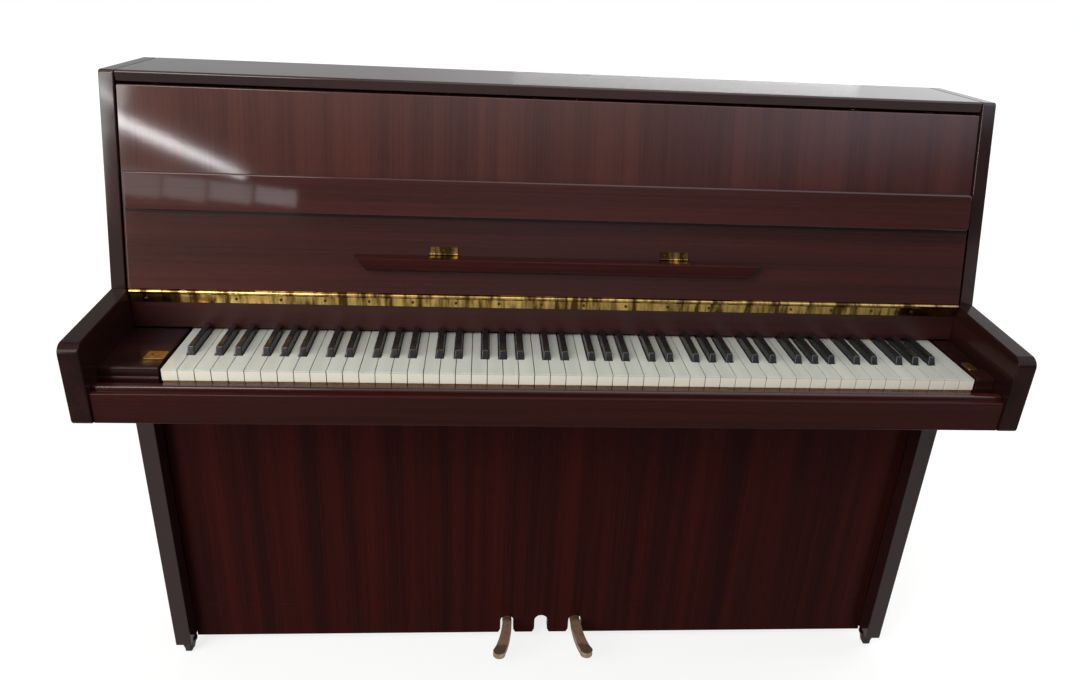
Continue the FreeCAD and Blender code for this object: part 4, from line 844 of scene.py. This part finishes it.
def notched(name, edges, front, rear, low, high):
    """A head with a narrower tail, left in edit mode."""
    left, right, tail_left, tail_right = edges
    shoulder = KEY_FRONT + HEAD
    piece = block(name, (left, front, low), (right, shoulder, high))
    bpy.ops.object.mode_set(mode="EDIT")
    for cut in (tail_left, tail_right):
        if left + HAIR < cut < right - HAIR:
            bpy.ops.mesh.select_all(action="SELECT")
            bpy.ops.mesh.bisect(plane_co=(cut, 0, 0), plane_no=(1, 0, 0))
    pick(piece, lambda c, n: n.y > 0.9 and tail_left < c.x < tail_right)
    bpy.ops.mesh.extrude_region_move(TRANSFORM_OT_translate={"value": (0, rear - shoulder, 0)})
    return piece


def white_cover(note):
    cover = notched("white_cover", white_edges(note), KEY_FRONT, KEY_FRONT + COVER, STICK_TOP + HAIR, KEY_TOP)
    wall = KEY_FRONT + FRONT_WALL
    bpy.ops.mesh.select_all(action="SELECT")
    bpy.ops.mesh.bisect(plane_co=(0, wall, 0), plane_no=(0, 1, 0))
    pick(cover, lambda c, n: n.z < -0.9 and c.y < wall)
    bpy.ops.mesh.extrude_region_move(TRANSFORM_OT_translate={"value": (0, 0, -LIP)})
    bpy.ops.object.mode_set(mode="OBJECT")
    return cover


def white_stick(note):
    front = KEY_FRONT + FRONT_WALL + STICK_CLEAR
    stick = notched("white_stick", white_edges(note), front, KEY_REAR, STICK_LOW, STICK_TOP)
    bpy.ops.object.mode_set(mode="OBJECT")
    return stick


print("covers %.1f mm thick" % ((KEY_TOP - STICK_TOP) / MM))

# %% Make the white keys
covers = {group: [] for group in GROUPS}
sticks = {group: [] for group in GROUPS}
for note in range(NOTES):
    if not is_sharp(note):
        covers[group_of(note)].append(white_cover(note))
        sticks[group_of(note)].append(white_stick(note))
for group in GROUPS:
    cover = joined(covers[group], "white_key_covers_%d" % group)
    ease(cover, 0.55 * MM)
    place_piece(cover, "keys_%d" % group, ivory_white)
print("white covers:", sum(len(pieces) for pieces in covers.values()))

# %% [markdown]
# ## Black keys
# All 36 sharps are alike: a block whose top is narrower than its base and whose front leans back.
# It is shaped once, with a generous round on its edges because fingers slide over them, and copied
# to each place.

# %% Shape one sharp and copy it
NOTCH_CLEAR, SHARP_RISE = 0.0016, 0.012
SHARP_FRONT, SHARP_REAR = KEY_FRONT + HEAD + NOTCH_CLEAR, -0.059
SHARP_TOP = KEY_TOP + SHARP_RISE
SHARP_TAPER, FRONT_LEAN = 0.81, 0.005
length = SHARP_REAR - SHARP_FRONT
rear_top = (0, SHARP_REAR, SHARP_TOP)
sharp = block("sharp", (-SHARP / 2, SHARP_FRONT, STICK_TOP + HAIR), (SHARP / 2, SHARP_REAR, SHARP_TOP))
bpy.ops.object.mode_set(mode="EDIT")
pick(sharp, lambda c, n: n.z > 0.9)
bpy.ops.transform.resize(value=(SHARP_TAPER, 1, 1), center_override=rear_top)
bpy.ops.transform.resize(value=(1, (length - FRONT_LEAN) / length, 1), center_override=rear_top)
bpy.ops.object.mode_set(mode="OBJECT")
ease(sharp, 1.5 * MM, 3, angle=25)

sharps = {group: [] for group in GROUPS}
for note in range(NOTES):
    if is_sharp(note):
        x = note_middle(note)
        sharps[group_of(note)].append(copy_at(sharp, Matrix.Translation((x, 0, 0))))
        low, high = (x - SHARP / 2, SHARP_FRONT, STICK_LOW), (x + SHARP / 2, KEY_REAR, STICK_TOP)
        sticks[group_of(note)].append(block("black_stick", low, high))
bpy.data.objects.remove(sharp)
for group in GROUPS:
    piece = joined(sharps[group], "black_key_covers_%d" % group)
    place_piece(piece, "keys_%d" % group, sharp_black, ["black_keys_%d" % group])
print("sharps:", sum(len(pieces) for pieces in sharps.values()))

# %% [markdown]
# ## Key sticks and capstans
# Under the covers the sticks run back to the action, and each carries a brass capstan screw that
# lifts its wippen. The capstan is a short post with an eased, wider head.

# %% Turn the capstans
CAPSTAN_AT, CAPSTAN, CAPSTAN_NECK, CAPSTAN_RADIUS = 0.062, 0.0184, 0.0134, 0.0024
HEAD_WIDER = 1.25
neck = STICK_TOP + CAPSTAN_NECK
capstan = turned(CAPSTAN_RADIUS, CAPSTAN, (0, CAPSTAN_AT, STICK_TOP + CAPSTAN / 2), 12)
bpy.ops.object.mode_set(mode="EDIT")
bpy.ops.mesh.select_all(action="SELECT")
bpy.ops.mesh.bisect(plane_co=(0, 0, neck), plane_no=(0, 0, 1))
pick(capstan, lambda c, n: c.z > neck and abs(n.z) < 0.5)
bpy.ops.transform.resize(value=(HEAD_WIDER, HEAD_WIDER, 1), center_override=(0, CAPSTAN_AT, STICK_TOP))
bpy.ops.object.mode_set(mode="OBJECT")
ease(capstan, 0.4 * MM, 1)
capstans = {group: [] for group in GROUPS}
for note in range(NOTES):
    capstans[group_of(note)].append(copy_at(capstan, Matrix.Translation((note_middle(note), 0, 0))))
bpy.data.objects.remove(capstan)
print("capstans:", sum(len(pieces) for pieces in capstans.values()))

# %% Finish the sticks
for group in GROUPS:
    stick = joined(sticks[group], "key_sticks_%d" % group)
    ease(stick, 0.4 * MM, 1)
    place_piece(stick, "keys_%d" % group, stick_wood, ["white_keys_%d" % group])
    posts = joined(capstans[group], "capstan_screws_%d" % group)
    place_piece(posts, "keys_%d" % group, hinge_brass)
print("sticks:", sum(len(pieces) for pieces in sticks.values()))

# %% [markdown]
# ## Screws
# Brass screws hold the hinges and plates. Their countersunk heads sit a hair proud, with a slot, and are
# coloured dark brown, so that each reads as a dark dot. One head is turned, slotted and copied to every
# place, each time in the plane of its plate.

# %% Model one slotted head
def slotted_head(radius, slot):
    """A thin head that stands a little over the plane z = 0, with a slot along X."""
    head = turned(radius, 0.8 * MM, (0, 0, 0.2 * MM), 20)
    bpy.ops.object.mode_set(mode="EDIT")
    for side in (-slot / 2, slot / 2):
        bpy.ops.mesh.select_all(action="SELECT")
        bpy.ops.mesh.bisect(plane_co=(0, side, 0), plane_no=(0, 1, 0))
    pick(head, lambda c, n: n.z > 0.9 and abs(c.y) < slot / 2)
    bpy.ops.mesh.extrude_region_move(TRANSFORM_OT_translate={"value": (0, 0, -0.5 * MM)})
    bpy.ops.object.mode_set(mode="OBJECT")
    ease(head, 0.15 * MM, 1)
    return head


def on_face(place, normal, turn):
    """The matrix that sets a head flat on a face, its slot turned by an angle."""
    facing = Vector(normal).to_track_quat("Z", "Y").to_matrix().to_4x4()
    return Matrix.Translation(place) @ facing @ Matrix.Rotation(turn, 4, "Z")


def screws(name, body, head, places):
    """Copies of a head, joined into one piece that rides on a body."""
    piece = joined([copy_at(head, matrix) for matrix in places], name)
    bpy.data.objects.remove(head)
    place_piece(piece, body, screw_brass)
    print(name, len(places), "heads")


print("slotted heads ready to be set on faces")

# %% Screws along the fallboard's hinge and on the key blocks' plates
HINGE_SCREWS, FIRST_SCREW, SCREW_STEP = 19, -645, 68.7
SHEET, PROUD, SCREW_BELOW = 0.002, 0.0001, 0.005
LEFT_INSET, RIGHT_INSET = 0.0095, 0.007
name_front, name_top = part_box("name_board")[0][1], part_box("name_board")[1][2]
places = []
for i in range(HINGE_SCREWS):
    place = ((FIRST_SCREW + SCREW_STEP * i) * MM, name_front - SHEET - PROUD, name_top - SCREW_BELOW)
    places.append(on_face(place, (0, -1, 0), 0.7 * i))
screws("hinge_screws", "case", slotted_head(2.4 * MM, 0.8 * MM), places)

plate_low, plate_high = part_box("key_block_plates")
plate_depth = (plate_low[1] + plate_high[1]) / 2
places = [on_face((x, plate_depth, plate_high[2] + PROUD), (0, 0, 1), 0.5)
          for x in (plate_low[0] + LEFT_INSET, plate_high[0] - RIGHT_INSET)]
screws("key_block_plate_screws", "case", slotted_head(2.2 * MM, 0.7 * MM), places)

# %% [markdown]
# The ledge's two hinge plates lie on the leaning leaf, so their screws are measured from the leaf's
# own hinge: along it, up it to just above the ledge, and out by the plate's thickness.

# %% Screws on the music ledge's plates
AXIS_FORWARD, AXIS_UP = 0.0045, 0.006
PLATE_ABOVE, PLATE_OUT = 0.0088, 0.0015
PLATE_OFFSET, SCREW_APART = 0.184, 0.0155
hinge_axis = Vector((0, name_front - AXIS_FORWARD, name_top + AXIS_UP))
ledge_high = (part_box("music_ledge")[1][2] - hinge_axis.z) / math.cos(LEAN)
plate_middle = hinge_axis + up_leaf * (ledge_high + PLATE_ABOVE) + off_leaf * PLATE_OUT
places = []
for side in (-1, 1):
    for step in (-1, 0, 1):
        along = Vector((side * PLATE_OFFSET + step * SCREW_APART, 0, 0))
        places.append(on_face(plate_middle + along, off_leaf, 0.6 + 0.5 * step))
screws("ledge_plate_screws", "fallboard", slotted_head(1.7 * MM, 0.6 * MM), places)

# %% [markdown]
# ## Felt under the lid
# The lid rests on green-black felt glued along the back rail between its hinges. It keeps dust out
# and stops the lid from buzzing. Each strip is cut square and its edges go soft.

# %% Lay the felt strips
FELT_FRONT, FELT_REAR, FELT_CLEAR = 0.002, 0.018, 0.0006
CROWN_INSET, CROWN_RISE = 0.0025, 0.0004
FELT_ENDS = ((-0.672, -0.547), (-0.470, -0.039), (0.039, 0.470), (0.547, 0.672))
rail_low, rail_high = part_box("back_frame")
lid_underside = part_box("lid")[0][2]
strips = []
for left, right in FELT_ENDS:
    low = (left, rail_low[1] + FELT_FRONT, rail_high[2])
    high = (right, rail_low[1] + FELT_REAR, lid_underside - FELT_CLEAR)
    strip = block("strip", low, high)
    bpy.ops.object.mode_set(mode="EDIT")
    pick(strip, lambda c, n: n.z > 0.9)
    bpy.ops.mesh.inset(thickness=CROWN_INSET)
    bpy.ops.transform.translate(value=(0, 0, CROWN_RISE))
    bpy.ops.object.mode_set(mode="OBJECT")
    ease(strip, 1.2 * MM)
    strips.append(strip)
lid_felt = joined(strips, "lid_rest_felt")
place_piece(lid_felt, "case", dark_felt)
print("felt strips:", len(strips))
